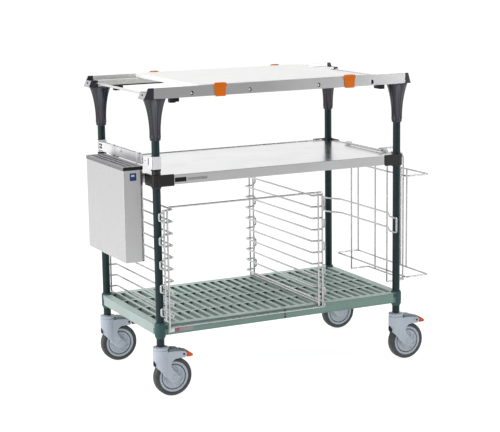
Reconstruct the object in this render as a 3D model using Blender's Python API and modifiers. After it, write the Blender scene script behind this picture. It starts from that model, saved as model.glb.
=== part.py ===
"""Food service trolley: a wheeled preparation cart with two shelves.

Four posts on braked casters carry a slatted lower shelf, a stainless middle
shelf and a pair of top rails with a sliding cutting board.  A knife box hangs
on the left end, a pair of wire tray slides stands under the middle shelf and
a wire pocket for boards hangs outside the right end.

Frame: metres, +Z up, X along the long side, -Y towards the front, origin on
the floor below the middle of the four posts.
"""
import math

import bpy
import bmesh
from mathutils import Matrix, Vector

# ---------------------------------------------------------------- dimensions
POST_X = 0.4385            # half the post spacing along the trolley
POST_Y = 0.2325            # half the post spacing across the trolley
POST_R = 0.0127
POST_BOTTOM = 0.1645
POST_TOP = 0.9440
STEM_BORE_R = 0.0100
STEM_BORE_TOP = 0.2260
GAP = 0.0003               # clearance between touching pieces
POST_SIDES = 24
SLEEVE_SIDES = 16

RAIL_BOTTOM = 0.9530
RAIL_LEDGE = 0.9740
RAIL_TOP = 0.9870
RAIL_INNER = 0.2130        # distance of the rail's inner face from the middle
RAIL_OUTER = 0.2630
RAIL_WALL = 0.0040
RAIL_HALF = 0.4520
CAP_TOP_X = 0.4700
CAP_BOTTOM_X = 0.4850

BRACKET_BOTTOM = 0.8225
BRACKET_BORE_R = 0.0132

BAR_X = 0.4550
BAR_WIDTH = 0.0280
BAR_BOTTOM = 0.9575
BAR_TOP = 0.9675

BOARD_X = 0.0050
BOARD_LENGTH = 0.6100
BOARD_HALF_Y = 0.2580
BOARD_BOTTOM = 0.9745
BOARD_TOP = 0.9890
CLIP_X = (-0.2280, 0.2380)
CLIP_WIDTH = 0.0390
CLIP_BOTTOM = 0.9500
CLIP_THICK = 0.0032
CLIP_REACH = 0.0170

SHELF_HALF_X = 0.4515
SHELF_HALF_Y = 0.2455
SHELF_BOTTOM = 0.6815
SHELF_TOP = 0.7125
SHELF_RIM = 0.0085
SHELF_DISH = 0.0025
SHELF_SHEET = 0.0020
CORNER_ARM_X = 0.3845
CORNER_ARM_Y = 0.1800
CORNER_OUT = 0.0033
CORNER_BOTTOM = 0.6780
CORNER_TOP = 0.7150
SLEEVE_R = 0.0168
SLEEVE_BOTTOM = 0.6720
SLEEVE_TOP = 0.7316
SLEEVE_RING_R = 0.0172
SLEEVE_NECK_R = 0.0152

FRAME_HALF_X = 0.4550
FRAME_HALF_Y = 0.2485
FRAME_BOTTOM = 0.2030
FRAME_TOP = 0.2370
FRAME_SEAT = 0.2220
FRAME_RIM = 0.0220
FRAME_LEDGE = 0.0120
COLLAR_R = 0.0180
COLLAR_BOTTOM = 0.1910
COLLAR_TOP = 0.2430
MAT_SLOTS_X = 14
MAT_SLOTS_Y = 4
MAT_SLOT_WIDTH = 0.0160
MAT_RIB = 0.0160
MAT_CORNER = 0.0150        # outer corners cut off beside the posts

BOX_X_OUT = -0.5350
BOX_X_IN = -0.4665
BOX_Y_FRONT = -0.2000
BOX_Y_BACK = 0.1250
BOX_BOTTOM = 0.4380
BOX_TOP = 0.7380
BOX_SHEET = 0.0015
STRAP_Y = (-0.1450, 0.0700)
STRAP_WIDTH = 0.0240
HANGER_X = (-0.4605, -0.4575)
HANGER_BOTTOM = 0.7420
HANGER_TOP = 0.7750
HANGER_HALF_Y = 0.1700
CLAMP_HALF_Y = 0.0165
CLAMP_REACH = 0.0110          # how far a clamp runs past its post's axis, to the right
CLAMP_BOTTOM = 0.7335
CLAMP_TOP = 0.7735
CLAMP_ARM_END = 0.1600

WIRE_R = 0.0028
WELD = 0.0044              # spacing of two wires welded across each other
UPRIGHT_Y = 0.2525
RUNG_TOP = 0.6030
RUNG_PITCH = 0.0381
RUNG_COUNT = 10
RACK_FOOT = 0.2150
RIGHT_UPRIGHTS = (0.1250, 0.1400)
RIGHT_RUNG_X = 0.1050
LEFT_UPRIGHTS = (-0.4130, -0.4250)
LEFT_RUNG_X = -0.3930
LEFT_LOOP_REACH = 0.0160
RIGHT_LOOP_REACH = 0.0080
LOOP_DROP = 0.0066         # loops leave the uprights clear of the rungs
BASE_END = 0.0012          # base wires end inside the uprights
CROSS_WIRE_TOP = 0.6130
CROSS_WIRE_LOW = 0.2260
CROSS_WIRE_END = -0.4090

POCKET_NEAR = 0.4613
POCKET_FAR = 0.5480
POCKET_FRONT = -0.2620
POCKET_BACK = 0.2050
POCKET_HIGH = 0.6400
POCKET_LOW = 0.2920
POCKET_FLOOR = 0.2530
POCKET_HANGER = 0.4570
POCKET_HOOK_Z = 0.7160
POCKET_HOOK_END = 0.4300
HOOP_Z = (0.4985, 0.4490)
HOOP_CLOSE_X = 0.4290

WHEEL_R = 0.0635
WHEEL_SIDES = 24
WHEEL_Z = WHEEL_R * math.cos(math.pi / WHEEL_SIDES)
WHEEL_TRAIL = 0.0380
TYRE_HALF = 0.0150
TYRE_INNER_R = 0.0500
AXLE_R = 0.0040
FORK_INNER = 0.0180
FORK_OUTER = 0.0225
PIVOT_X = 0.0705
PIVOT_Z = 0.1355
PIVOT_R = 0.0025

# ----------------------------------------------------------------- materials
MATERIALS = {
    "post_green": ((0.030, 0.065, 0.068), 0.45, 0.1),
    "slate_plastic": ((0.055, 0.057, 0.072), 0.50, 0.0),
    "rail_metal": ((0.56, 0.56, 0.57), 0.35, 1.0),
    "bar_metal": ((0.75, 0.75, 0.75), 0.40, 0.6),
    "board_white": ((0.88, 0.88, 0.87), 0.55, 0.0),
    "clip_orange": ((0.70, 0.15, 0.012), 0.45, 0.0),
    "stainless": ((0.66, 0.66, 0.66), 0.30, 1.0),
    "corner_black": ((0.022, 0.020, 0.021), 0.55, 0.0),
    "frame_green": ((0.22, 0.31, 0.285), 0.55, 0.0),
    "mat_green": ((0.27, 0.37, 0.34), 0.60, 0.0),
    "collar_green": ((0.045, 0.10, 0.10), 0.50, 0.0),
    "box_steel": ((0.62, 0.62, 0.62), 0.35, 1.0),
    "insert_grey": ((0.16, 0.16, 0.165), 0.60, 0.0),
    "wire_chrome": ((0.70, 0.70, 0.71), 0.25, 1.0),
    "caster_grey": ((0.34, 0.38, 0.42), 0.50, 0.0),
    "wheel_grey": ((0.40, 0.44, 0.49), 0.50, 0.0),
    "tyre_dark": ((0.075, 0.082, 0.080), 0.75, 0.0),
    "pedal_orange": ((0.75, 0.12, 0.025), 0.45, 0.0),
}

for old in list(bpy.data.objects):
    bpy.data.objects.remove(old)

PARTS = bpy.data.collections.new("food_service_trolley")
CUTTERS = bpy.data.collections.new("cutters")
bpy.context.scene.collection.children.link(PARTS)
bpy.context.scene.collection.children.link(CUTTERS)


def material(key):
    """Return the material of that name, made on first use."""
    found = bpy.data.materials.get(key)
    if found:
        return found
    colour, roughness, metallic = MATERIALS[key]
    made = bpy.data.materials.new(key)
    made.use_nodes = True
    shader = made.node_tree.nodes["Principled BSDF"]
    shader.inputs["Base Color"].default_value = (*colour, 1.0)
    shader.inputs["Roughness"].default_value = roughness
    shader.inputs["Metallic"].default_value = metallic
    return made


# ------------------------------------------------------------- shape helpers
def box_mesh(name, low, high):
    """A block between two corners."""
    low, high = Vector(low), Vector(high)
    size = high - low
    bm = bmesh.new()
    bmesh.ops.create_cube(bm, size=1.0)
    bmesh.ops.scale(bm, vec=size, verts=bm.verts)
    bmesh.ops.translate(bm, vec=(low + high) / 2.0, verts=bm.verts)
    mesh = bpy.data.meshes.new(name)
    bm.to_mesh(mesh)
    bm.free()
    return mesh


def rod_mesh(name, start, end, radius, sides=12):
    """A straight round bar between two points."""
    start, end = Vector(start), Vector(end)
    axis = end - start
    bm = bmesh.new()
    bmesh.ops.create_cone(bm, cap_ends=True, segments=sides, radius1=radius, radius2=radius,
                          depth=axis.length)
    turn = Vector((0, 0, 1)).rotation_difference(axis.normalized()).to_matrix().to_4x4()
    bmesh.ops.transform(bm, matrix=Matrix.Translation((start + end) / 2.0) @ turn, verts=bm.verts)
    mesh = bpy.data.meshes.new(name)
    bm.to_mesh(mesh)
    bm.free()
    return mesh


def evaluated_mesh(obj):
    """The object's mesh as its modifiers leave it, with loose caps welded."""
    bpy.context.view_layer.update()
    graph = bpy.context.evaluated_depsgraph_get()
    mesh = bpy.data.meshes.new_from_object(obj.evaluated_get(graph))
    bm = bmesh.new()
    bm.from_mesh(mesh)
    bmesh.ops.remove_doubles(bm, verts=bm.verts, dist=0.00001)
    bmesh.ops.recalc_face_normals(bm, faces=bm.faces)
    bm.to_mesh(mesh)
    bm.free()
    mesh.transform(obj.matrix_world)
    return mesh


def curve_mesh(name, curve):
    """Turn a curve into a closed mesh and drop the curve."""
    holder = bpy.data.objects.new(name + "_curve", curve)
    bpy.context.scene.collection.objects.link(holder)
    mesh = evaluated_mesh(holder)
    bpy.data.objects.remove(holder)
    bpy.data.curves.remove(curve)
    mesh.name = name
    return mesh


def wire_mesh(name, points, radius=WIRE_R, cyclic=False):
    """A bent wire through the points."""
    curve = bpy.data.curves.new(name, "CURVE")
    curve.dimensions = "3D"
    curve.bevel_depth = radius
    curve.bevel_resolution = 1
    curve.use_fill_caps = not cyclic
    spline = curve.splines.new("POLY")
    spline.points.add(len(points) - 1)
    for slot, point in zip(spline.points, points):
        slot.co = (*point, 1.0)
    spline.use_cyclic_u = cyclic
    return curve_mesh(name, curve)


def plate_mesh(name, outline, thickness, holes=()):
    """A flat outline in XY, thickened about its plane."""
    curve = bpy.data.curves.new(name, "CURVE")
    curve.dimensions = "2D"
    curve.fill_mode = "BOTH"
    curve.extrude = thickness / 2.0
    for loop in (outline, *holes):
        spline = curve.splines.new("POLY")
        spline.points.add(len(loop) - 1)
        for slot, (u, v) in zip(spline.points, loop):
            slot.co = (u, v, 0.0, 1.0)
        spline.use_cyclic_u = True
    return curve_mesh(name, curve)


def turned_mesh(name, profile, steps, closed=False):
    """A profile of (radius, height) points turned about Z."""
    mesh = bpy.data.meshes.new(name)
    bm = bmesh.new()
    ring = [bm.verts.new((r, 0.0, z)) for r, z in profile]
    for a, b in zip(ring, ring[1:]):
        bm.edges.new((a, b))
    if closed:
        bm.edges.new((ring[-1], ring[0]))
    bm.to_mesh(mesh)
    bm.free()
    holder = bpy.data.objects.new(name + "_profile", mesh)
    bpy.context.scene.collection.objects.link(holder)
    screw = holder.modifiers.new("turn", "SCREW")
    screw.axis = "Z"
    screw.steps = steps
    screw.render_steps = steps
    screw.use_merge_vertices = True
    screw.merge_threshold = 0.00001
    turned = evaluated_mesh(holder)
    bpy.data.objects.remove(holder)
    turned.name = name
    return turned


def move_mesh(mesh, matrix):
    """Shift or turn a mesh in place."""
    mesh.transform(matrix)
    return mesh


def shade(obj, angle=35.0):
    """Round pieces smooth, real edges sharp."""
    obj.data.shade_smooth()
    obj.data.set_sharp_from_angle(angle=math.radians(angle))


def add_part(name, mesh, look, origin=(0.0, 0.0, 0.0), parent=None, smooth=True):
    """Place a named piece whose mesh is given in trolley coordinates."""
    origin = Vector(origin)
    mesh.transform(Matrix.Translation(-origin))
    mesh.materials.clear()
    mesh.materials.append(material(look))
    mesh.name = name
    obj = bpy.data.objects.new(name, mesh)
    PARTS.objects.link(obj)
    if parent is None:
        obj.location = origin
    else:
        obj.parent = parent
        obj.location = origin - parent_place(parent)
    if smooth:
        shade(obj)
    return obj


def parent_place(obj):
    """Where an unrotated empty or piece stands in the trolley."""
    place = Vector(obj.location)
    while obj.parent is not None:
        obj = obj.parent
        place += Vector(obj.location)
    return place


def joint_empty(name, place, parent=None):
    """An empty on a joint's axis."""
    empty = bpy.data.objects.new(name, None)
    PARTS.objects.link(empty)
    empty.parent = parent
    empty.location = Vector(place) - (parent_place(parent) if parent else Vector())
    return empty


def combine(name, meshes, operation, base):
    """Join meshes to a base mesh, or cut them from it, one after another."""
    holder = bpy.data.objects.new(name + "_base", base)
    bpy.context.scene.collection.objects.link(holder)
    tools = []
    for index, mesh in enumerate(meshes):
        tool = bpy.data.objects.new("%s_tool_%d" % (name, index), mesh)
        CUTTERS.objects.link(tool)
        tool.hide_render = True
        tool.display_type = "WIRE"
        step = holder.modifiers.new("step", "BOOLEAN")
        step.operation = operation
        step.solver = "EXACT"
        step.object = tool
        tools.append(tool)
    result = evaluated_mesh(holder)
    for tool in tools:
        bpy.data.objects.remove(tool)
    bpy.data.objects.remove(holder)
    result.name = name
    return result


def union(name, base, *others):
    return combine(name, others, "UNION", base)


def cut(name, base, *cutters):
    return combine(name, cutters, "DIFFERENCE", base)


def arc(centre, radius, start, end, count):
    """Points along an arc in a plane, angles in degrees."""
    points = []
    for index in range(count):
        angle = math.radians(start + (end - start) * index / (count - 1))
        points.append((centre[0] + radius * math.cos(angle), centre[1] + radius * math.sin(angle)))
    return points


def rounded_path(points, radius, cyclic=False, pieces=1):
    """Replace the corners of a 3D polyline with short bends."""
    points = [Vector(p) for p in points]
    count = len(points)
    path = []
    for index, here in enumerate(points):
        at_end = index in (0, count - 1)
        if at_end and not cyclic:
            path.append(here)
            continue
        before = points[index - 1]
        after = points[(index + 1) % count]
        into = (before - here)
        out = (after - here)
        reach = min(radius, into.length * 0.45, out.length * 0.45)
        first = here + into.normalized() * reach
        last = here + out.normalized() * reach
        for step in range(pieces + 1):
            t = step / pieces
            path.append(first.lerp(here, t).lerp(here.lerp(last, t), t))
    return [tuple(p) for p in path]


def bent_wire(name, points, radius=0.006, cyclic=False, pieces=1):
    return wire_mesh(name, rounded_path(points, radius, cyclic, pieces), WIRE_R, cyclic)


UPRIGHT_FRAME = Matrix(((1, 0, 0, 0), (0, 0, -1, 0), (0, 1, 0, 0), (0, 0, 0, 1)))
END_FRAME = Matrix(((0, 0, 1, 0), (1, 0, 0, 0), (0, 1, 0, 0), (0, 0, 0, 1)))
SIDES = (("front", -1), ("back", 1))
ENDS = (("left", -1), ("right", 1))


# --------------------------------------------------------------------- posts
def make_posts():
    """Tubular posts, bored from below for the caster stems."""
    profile = [
        (0.0, POST_TOP), (POST_R, POST_TOP), (POST_R, POST_BOTTOM),
        (STEM_BORE_R, POST_BOTTOM), (STEM_BORE_R, STEM_BORE_TOP), (0.0, STEM_BORE_TOP)]
    for end, sx in ENDS:
        for side, sy in SIDES:
            mesh = turned_mesh("post", profile, POST_SIDES)
            move_mesh(mesh, Matrix.Translation((sx * POST_X, sy * POST_Y, 0.0)))
            add_part("post_%s_%s" % (side, end), mesh, "post_green",
                     (sx * POST_X, sy * POST_Y, POST_BOTTOM))


# ------------------------------------------------------------------ top rails
def make_brackets():
    """Flared heads between the posts and the rails, each with a lock block."""
    top = RAIL_BOTTOM - GAP
    profile = [
        (0.0, top), (0.0350, top), (0.0350, 0.9450), (0.0290, 0.9250), (0.0235, 0.8980),
        (0.0200, 0.8700), (0.0188, 0.8420), (0.0158, BRACKET_BOTTOM),
        (BRACKET_BORE_R, BRACKET_BOTTOM), (BRACKET_BORE_R, POST_TOP + GAP), (0.0, POST_TOP + GAP)]
    for end, sx in ENDS:
        for side, sy in SIDES:
            x, y = sx * POST_X, sy * POST_Y
            head = turned_mesh("head", profile, SLEEVE_SIDES)
            move_mesh(head, Matrix.Translation((x, y, 0.0)))
            near, far = x - sx * 0.0280, x - sx * 0.0720
            lock = box_mesh("lock", (min(near, far), y - 0.0140, 0.9390),
                            (max(near, far), y + 0.0140, top - 0.0004))
            mesh = union("bracket", head, lock)
            add_part("rail_bracket_%s_%s" % (side, end), mesh, "slate_plastic",
                     (x, y, BRACKET_BOTTOM))


def rail_outline(sy, grow=0.0):
    """The rail's section, across the trolley and up."""
    inner, outer = RAIL_INNER - grow, RAIL_OUTER + grow
    wall = RAIL_OUTER - RAIL_WALL - grow
    points = [
        (inner, RAIL_BOTTOM), (inner, RAIL_LEDGE + grow), (wall, RAIL_LEDGE + grow),
        (wall, RAIL_TOP + grow), (outer, RAIL_TOP + grow), (outer, RAIL_BOTTOM)]
    return [(sy * u, v) for u, v in points]


def make_rails():
    """Two channels open below, with a tall outer wall and slots in it."""
    for side, sy in SIDES:
        body = plate_mesh("rail", rail_outline(sy), 2.0 * RAIL_HALF)
        move_mesh(body, END_FRAME)
        inside = sorted((sy * (RAIL_INNER + RAIL_WALL), sy * (RAIL_OUTER - RAIL_WALL)))
        cutters = [box_mesh("channel", (-0.6, inside[0], 0.90), (0.6, inside[1], RAIL_LEDGE - RAIL_WALL))]
        wall = sorted((sy * (RAIL_OUTER - RAIL_WALL - 0.001), sy * (RAIL_OUTER + 0.01)))
        for x in (-0.325, -0.124, 0.124):
            cutters.append(box_mesh("slot", (x - 0.009, wall[0], 0.9615), (x + 0.009, wall[1], 0.9655)))
        cutters.append(box_mesh("keyhole", (0.3210, wall[0], 0.9600), (0.3290, wall[1], 0.9690)))
        mesh = cut("rail", body, *cutters)
        add_part("top_rail_%s" % side, mesh, "rail_metal",
                 (0.0, sy * (RAIL_INNER + RAIL_OUTER) / 2.0, RAIL_BOTTOM), smooth=False)


def make_end_caps():
    """Plastic caps on the rails' ends, raked outwards at the bottom."""
    start = RAIL_HALF + GAP
    for end, sx in ENDS:
        for side, sy in SIDES:
            mesh = plate_mesh("cap", rail_outline(sy, 0.0006), 2.0)
            move_mesh(mesh, END_FRAME)
            for vert in mesh.vertices:
                rake = (RAIL_TOP - vert.co.z) / (RAIL_TOP - RAIL_BOTTOM)
                outside = CAP_TOP_X + (CAP_BOTTOM_X - CAP_TOP_X) * rake
                vert.co.x = sx * (outside if vert.co.x * sx > 0.0 else start)
            add_part("rail_cap_%s_%s" % (side, end), mesh, "slate_plastic",
                     (sx * start, sy * RAIL_OUTER, RAIL_BOTTOM), smooth=False)


def make_cross_bars():
    """A flat bar between the two rails at each end."""
    reach = RAIL_INNER - 0.0006 - GAP
    for end, sx in ENDS:
        mesh = box_mesh("bar", (sx * BAR_X - BAR_WIDTH / 2.0, -reach, BAR_BOTTOM),
                        (sx * BAR_X + BAR_WIDTH / 2.0, reach, BAR_TOP))
        add_part("rail_cross_bar_%s" % end, mesh, "bar_metal", (sx * BAR_X, 0.0, BAR_BOTTOM), smooth=False)


def make_board():
    """The cutting board between the rails, with four clips over its edges."""
    slide = joint_empty("board_slide", (BOARD_X, 0.0, BOARD_BOTTOM))
    mesh = box_mesh("board", (BOARD_X - BOARD_LENGTH / 2.0, -BOARD_HALF_Y, BOARD_BOTTOM),
                    (BOARD_X + BOARD_LENGTH / 2.0, BOARD_HALF_Y, BOARD_TOP))
    board = add_part("cutting_board", mesh, "board_white", (BOARD_X, 0.0, BOARD_BOTTOM), slide, False)
    bevel = board.modifiers.new("edges", "BEVEL")
    bevel.width = 0.0015
    bevel.segments = 1
    low = BOARD_TOP + GAP
    high = low + CLIP_THICK
    face = RAIL_OUTER + GAP
    for side, sy in SIDES:
        for end, x in zip(("left", "right"), CLIP_X):
            outline = [
                (face, CLIP_BOTTOM), (face, low), (face + CLIP_THICK - CLIP_REACH, low),
                (face + CLIP_THICK - CLIP_REACH, high), (face + CLIP_THICK - 0.001, high),
                (face + CLIP_THICK, high - 0.001), (face + CLIP_THICK, CLIP_BOTTOM)]
            mesh = plate_mesh("clip", [(sy * u, v) for u, v in outline], CLIP_WIDTH)
            move_mesh(mesh, Matrix.Translation((x, 0.0, 0.0)) @ END_FRAME)
            add_part("board_clip_%s_%s" % (side, end), mesh, "clip_orange",
                     (x, sy * face, CLIP_BOTTOM), slide, False)


def corner_notch(x, y, low, high, radius):
    """A round notch about a post, open to the shelf's outer corner."""
    outline = arc((0.0, 0.0), radius, 45.0, 315.0, 19)
    outline += [(0.05, -0.05), (0.05, 0.05)]
    mesh = plate_mesh("notch", outline, high - low)
    quadrant = math.atan2(math.copysign(1.0, y), math.copysign(1.0, x))
    place = Matrix.Translation((x, y, (low + high) / 2.0))
    return move_mesh(mesh, place @ Matrix.Rotation(quadrant, 4, "Z"))


# ---------------------------------------------------------------- middle shelf
def make_middle_shelf():
    """A folded steel pan, open below, dished inside a narrow rim."""
    body = box_mesh("pan", (-SHELF_HALF_X, -SHELF_HALF_Y, SHELF_BOTTOM),
                    (SHELF_HALF_X, SHELF_HALF_Y, SHELF_TOP))
    cutters = [
        box_mesh("dish", (-SHELF_HALF_X + SHELF_RIM, -SHELF_HALF_Y + SHELF_RIM, SHELF_TOP - SHELF_DISH),
                 (SHELF_HALF_X - SHELF_RIM, SHELF_HALF_Y - SHELF_RIM, SHELF_TOP + 0.1)),
        box_mesh("under", (-SHELF_HALF_X + SHELF_SHEET, -SHELF_HALF_Y + SHELF_SHEET, SHELF_BOTTOM - 0.1),
                 (SHELF_HALF_X - SHELF_SHEET, SHELF_HALF_Y - SHELF_SHEET,
                  SHELF_TOP - SHELF_DISH - SHELF_SHEET))]
    for _, sx in ENDS:
        for _, sy in SIDES:
            x, y = sx * POST_X, sy * POST_Y
            cutters.append(corner_notch(x, y, 0.6, 0.8, SLEEVE_R + 0.0005))
    mesh = cut("shelf", body, *cutters)
    add_part("middle_shelf", mesh, "stainless", (0.0, 0.0, SHELF_BOTTOM), smooth=False)


def make_shelf_corners():
    """Black sleeves on the posts with two arms wrapping the shelf's corner."""
    inner = SHELF_HALF_X + GAP
    outer = SHELF_HALF_X + CORNER_OUT
    inner_y = SHELF_HALF_Y + GAP
    outer_y = SHELF_HALF_Y + CORNER_OUT
    profile = [(SLEEVE_RING_R, SLEEVE_TOP), (SLEEVE_RING_R, SLEEVE_TOP - 0.0045),
               (SLEEVE_NECK_R, SLEEVE_TOP - 0.0065), (SLEEVE_NECK_R, CORNER_TOP + 0.0020),
               (SLEEVE_R, CORNER_TOP), (SLEEVE_R, SLEEVE_BOTTOM + 0.003), (SLEEVE_R - 0.002, SLEEVE_BOTTOM),
               (BRACKET_BORE_R, SLEEVE_BOTTOM), (BRACKET_BORE_R, SLEEVE_TOP)]
    for end, sx in ENDS:
        for side, sy in SIDES:
            x, y = sx * POST_X, sy * POST_Y
            sleeve = turned_mesh("sleeve", profile, SLEEVE_SIDES, closed=True)
            move_mesh(sleeve, Matrix.Translation((x, y, 0.0)))
            spans = (
                ((sx * (POST_X + 0.004), sy * inner_y), (sx * CORNER_ARM_X, sy * outer_y)),
                ((sx * inner, sy * (POST_Y + 0.004)), (sx * outer, sy * CORNER_ARM_Y)))
            arms = []
            for a, b in spans:
                low = (min(a[0], b[0]), min(a[1], b[1]), CORNER_BOTTOM)
                high = (max(a[0], b[0]), max(a[1], b[1]), CORNER_TOP)
                arms.append(box_mesh("arm", low, high))
            mesh = union("corner", sleeve, *arms)
            add_part("shelf_corner_%s_%s" % (side, end), mesh, "corner_black", (x, y, SLEEVE_BOTTOM))


# ----------------------------------------------------------------- lower shelf
def make_lower_frame():
    """The lower shelf's frame, with a seat for the mats and a middle beam."""
    body = box_mesh("frame", (-FRAME_HALF_X, -FRAME_HALF_Y, FRAME_BOTTOM),
                    (FRAME_HALF_X, FRAME_HALF_Y, FRAME_TOP))
    seat_x, seat_y = FRAME_HALF_X - FRAME_RIM, FRAME_HALF_Y - FRAME_RIM
    hole_x, hole_y = seat_x - FRAME_LEDGE, seat_y - FRAME_LEDGE
    cutters = [
        box_mesh("seat", (-seat_x, -seat_y, FRAME_SEAT), (seat_x, seat_y, 0.3)),
        box_mesh("window", (-hole_x, -hole_y, 0.1), (-FRAME_LEDGE, hole_y, 0.23)),
        box_mesh("window", (FRAME_LEDGE, -hole_y, 0.1), (hole_x, hole_y, 0.23))]
    for _, sx in ENDS:
        for _, sy in SIDES:
            x, y = sx * POST_X, sy * POST_Y
            cutters.append(corner_notch(x, y, 0.1, 0.3, COLLAR_R + 0.0005))
    mesh = cut("frame", body, *cutters)
    add_part("lower_shelf_frame", mesh, "frame_green", (0.0, 0.0, FRAME_BOTTOM), smooth=False)


def make_collars():
    """Tapered collars that lock the lower shelf to the posts."""
    profile = [
        (COLLAR_R - 0.0025, COLLAR_TOP), (COLLAR_R, COLLAR_TOP - 0.004), (COLLAR_R, COLLAR_BOTTOM + 0.008),
        (COLLAR_R - 0.003, COLLAR_BOTTOM), (BRACKET_BORE_R, COLLAR_BOTTOM), (BRACKET_BORE_R, COLLAR_TOP)]
    for end, sx in ENDS:
        for side, sy in SIDES:
            mesh = turned_mesh("collar", profile, SLEEVE_SIDES, closed=True)
            move_mesh(mesh, Matrix.Translation((sx * POST_X, sy * POST_Y, 0.0)))
            add_part("post_collar_%s_%s" % (side, end), mesh, "collar_green",
                     (sx * POST_X, sy * POST_Y, COLLAR_BOTTOM))


def make_mats():
    """Two slotted mats lying in the frame."""
    seat_x = FRAME_HALF_X - FRAME_RIM - GAP
    seat_y = FRAME_HALF_Y - FRAME_RIM - GAP
    inner = 0.0010
    low, high = FRAME_SEAT + GAP, FRAME_TOP - 0.0005
    for end, sx in ENDS:
        ends = sorted((sx * inner, sx * seat_x))
        near, far, clear = sx * inner, sx * seat_x, sx * (seat_x - MAT_CORNER)
        outline = [(near, -seat_y), (clear, -seat_y), (far, -seat_y + MAT_CORNER),
                   (far, seat_y - MAT_CORNER), (clear, seat_y), (near, seat_y)]
        pitch_x = (seat_x - inner) / MAT_SLOTS_X
        pitch_y = 2.0 * seat_y / MAT_SLOTS_Y
        half_x = MAT_SLOT_WIDTH / 2.0
        half_y = (pitch_y - MAT_RIB) / 2.0
        holes = []
        for i in range(MAT_SLOTS_X):
            cx = ends[0] + pitch_x * (i + 0.5)
            for j in range(MAT_SLOTS_Y):
                cy = -seat_y + pitch_y * (j + 0.5)
                holes.append([(cx - half_x, cy - half_y), (cx + half_x, cy - half_y),
                              (cx + half_x, cy + half_y), (cx - half_x, cy + half_y)])
        mesh = plate_mesh("mat", outline, high - low, holes)
        move_mesh(mesh, Matrix.Translation((0.0, 0.0, (low + high) / 2.0)))
        add_part("shelf_mat_%s" % end, mesh, "mat_green", (sx * seat_x / 2.0, 0.0, low), smooth=False)


# ------------------------------------------------------------------- knife box
def make_hanger():
    """The bar that the knife box hangs from, and a clamp on each left post with an arm behind it."""
    plane = HANGER_X[1] + GAP
    for side, sy in SIDES:
        y = sy * POST_Y
        grip = box_mesh("grip", (plane, y - CLAMP_HALF_Y, CLAMP_BOTTOM),
                        (-POST_X + CLAMP_REACH, y + CLAMP_HALF_Y, CLAMP_TOP))
        near, far = sorted((sy * CLAMP_ARM_END, y))
        arm = box_mesh("arm", (plane, near, HANGER_BOTTOM + 0.002), (plane + 0.003, far, HANGER_TOP - 0.006))
        bore = rod_mesh("bore", (-POST_X, y, 0.7), (-POST_X, y, 0.8), BRACKET_BORE_R, 24)
        add_part("hanger_clamp_%s" % side, cut("clamp", union("clamp", grip, arm), bore), "box_steel",
                 (-POST_X, y, CLAMP_BOTTOM), smooth=False)
    mesh = box_mesh("hanger", (HANGER_X[0], -HANGER_HALF_Y, HANGER_BOTTOM),
                    (HANGER_X[1], HANGER_HALF_Y, HANGER_TOP))
    add_part("knife_box_hanger", mesh, "box_steel", (HANGER_X[1], 0.0, HANGER_BOTTOM), smooth=False)


def open_box(name):
    """A sheet box without a lid, thickened inwards."""
    mesh = box_mesh(name, (BOX_X_OUT, BOX_Y_FRONT, BOX_BOTTOM), (BOX_X_IN, BOX_Y_BACK, BOX_TOP))
    bm = bmesh.new()
    bm.from_mesh(mesh)
    lid = [face for face in bm.faces if face.normal.z > 0.5]
    bmesh.ops.delete(bm, geom=lid, context="FACES_ONLY")
    bm.to_mesh(mesh)
    bm.free()
    holder = bpy.data.objects.new(name + "_sheet", mesh)
    bpy.context.scene.collection.objects.link(holder)
    solid = holder.modifiers.new("sheet", "SOLIDIFY")
    solid.thickness = BOX_SHEET
    solid.offset = -1.0
    solid.use_even_offset = True
    made = evaluated_mesh(holder)
    bpy.data.objects.remove(holder)
    return made


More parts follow.
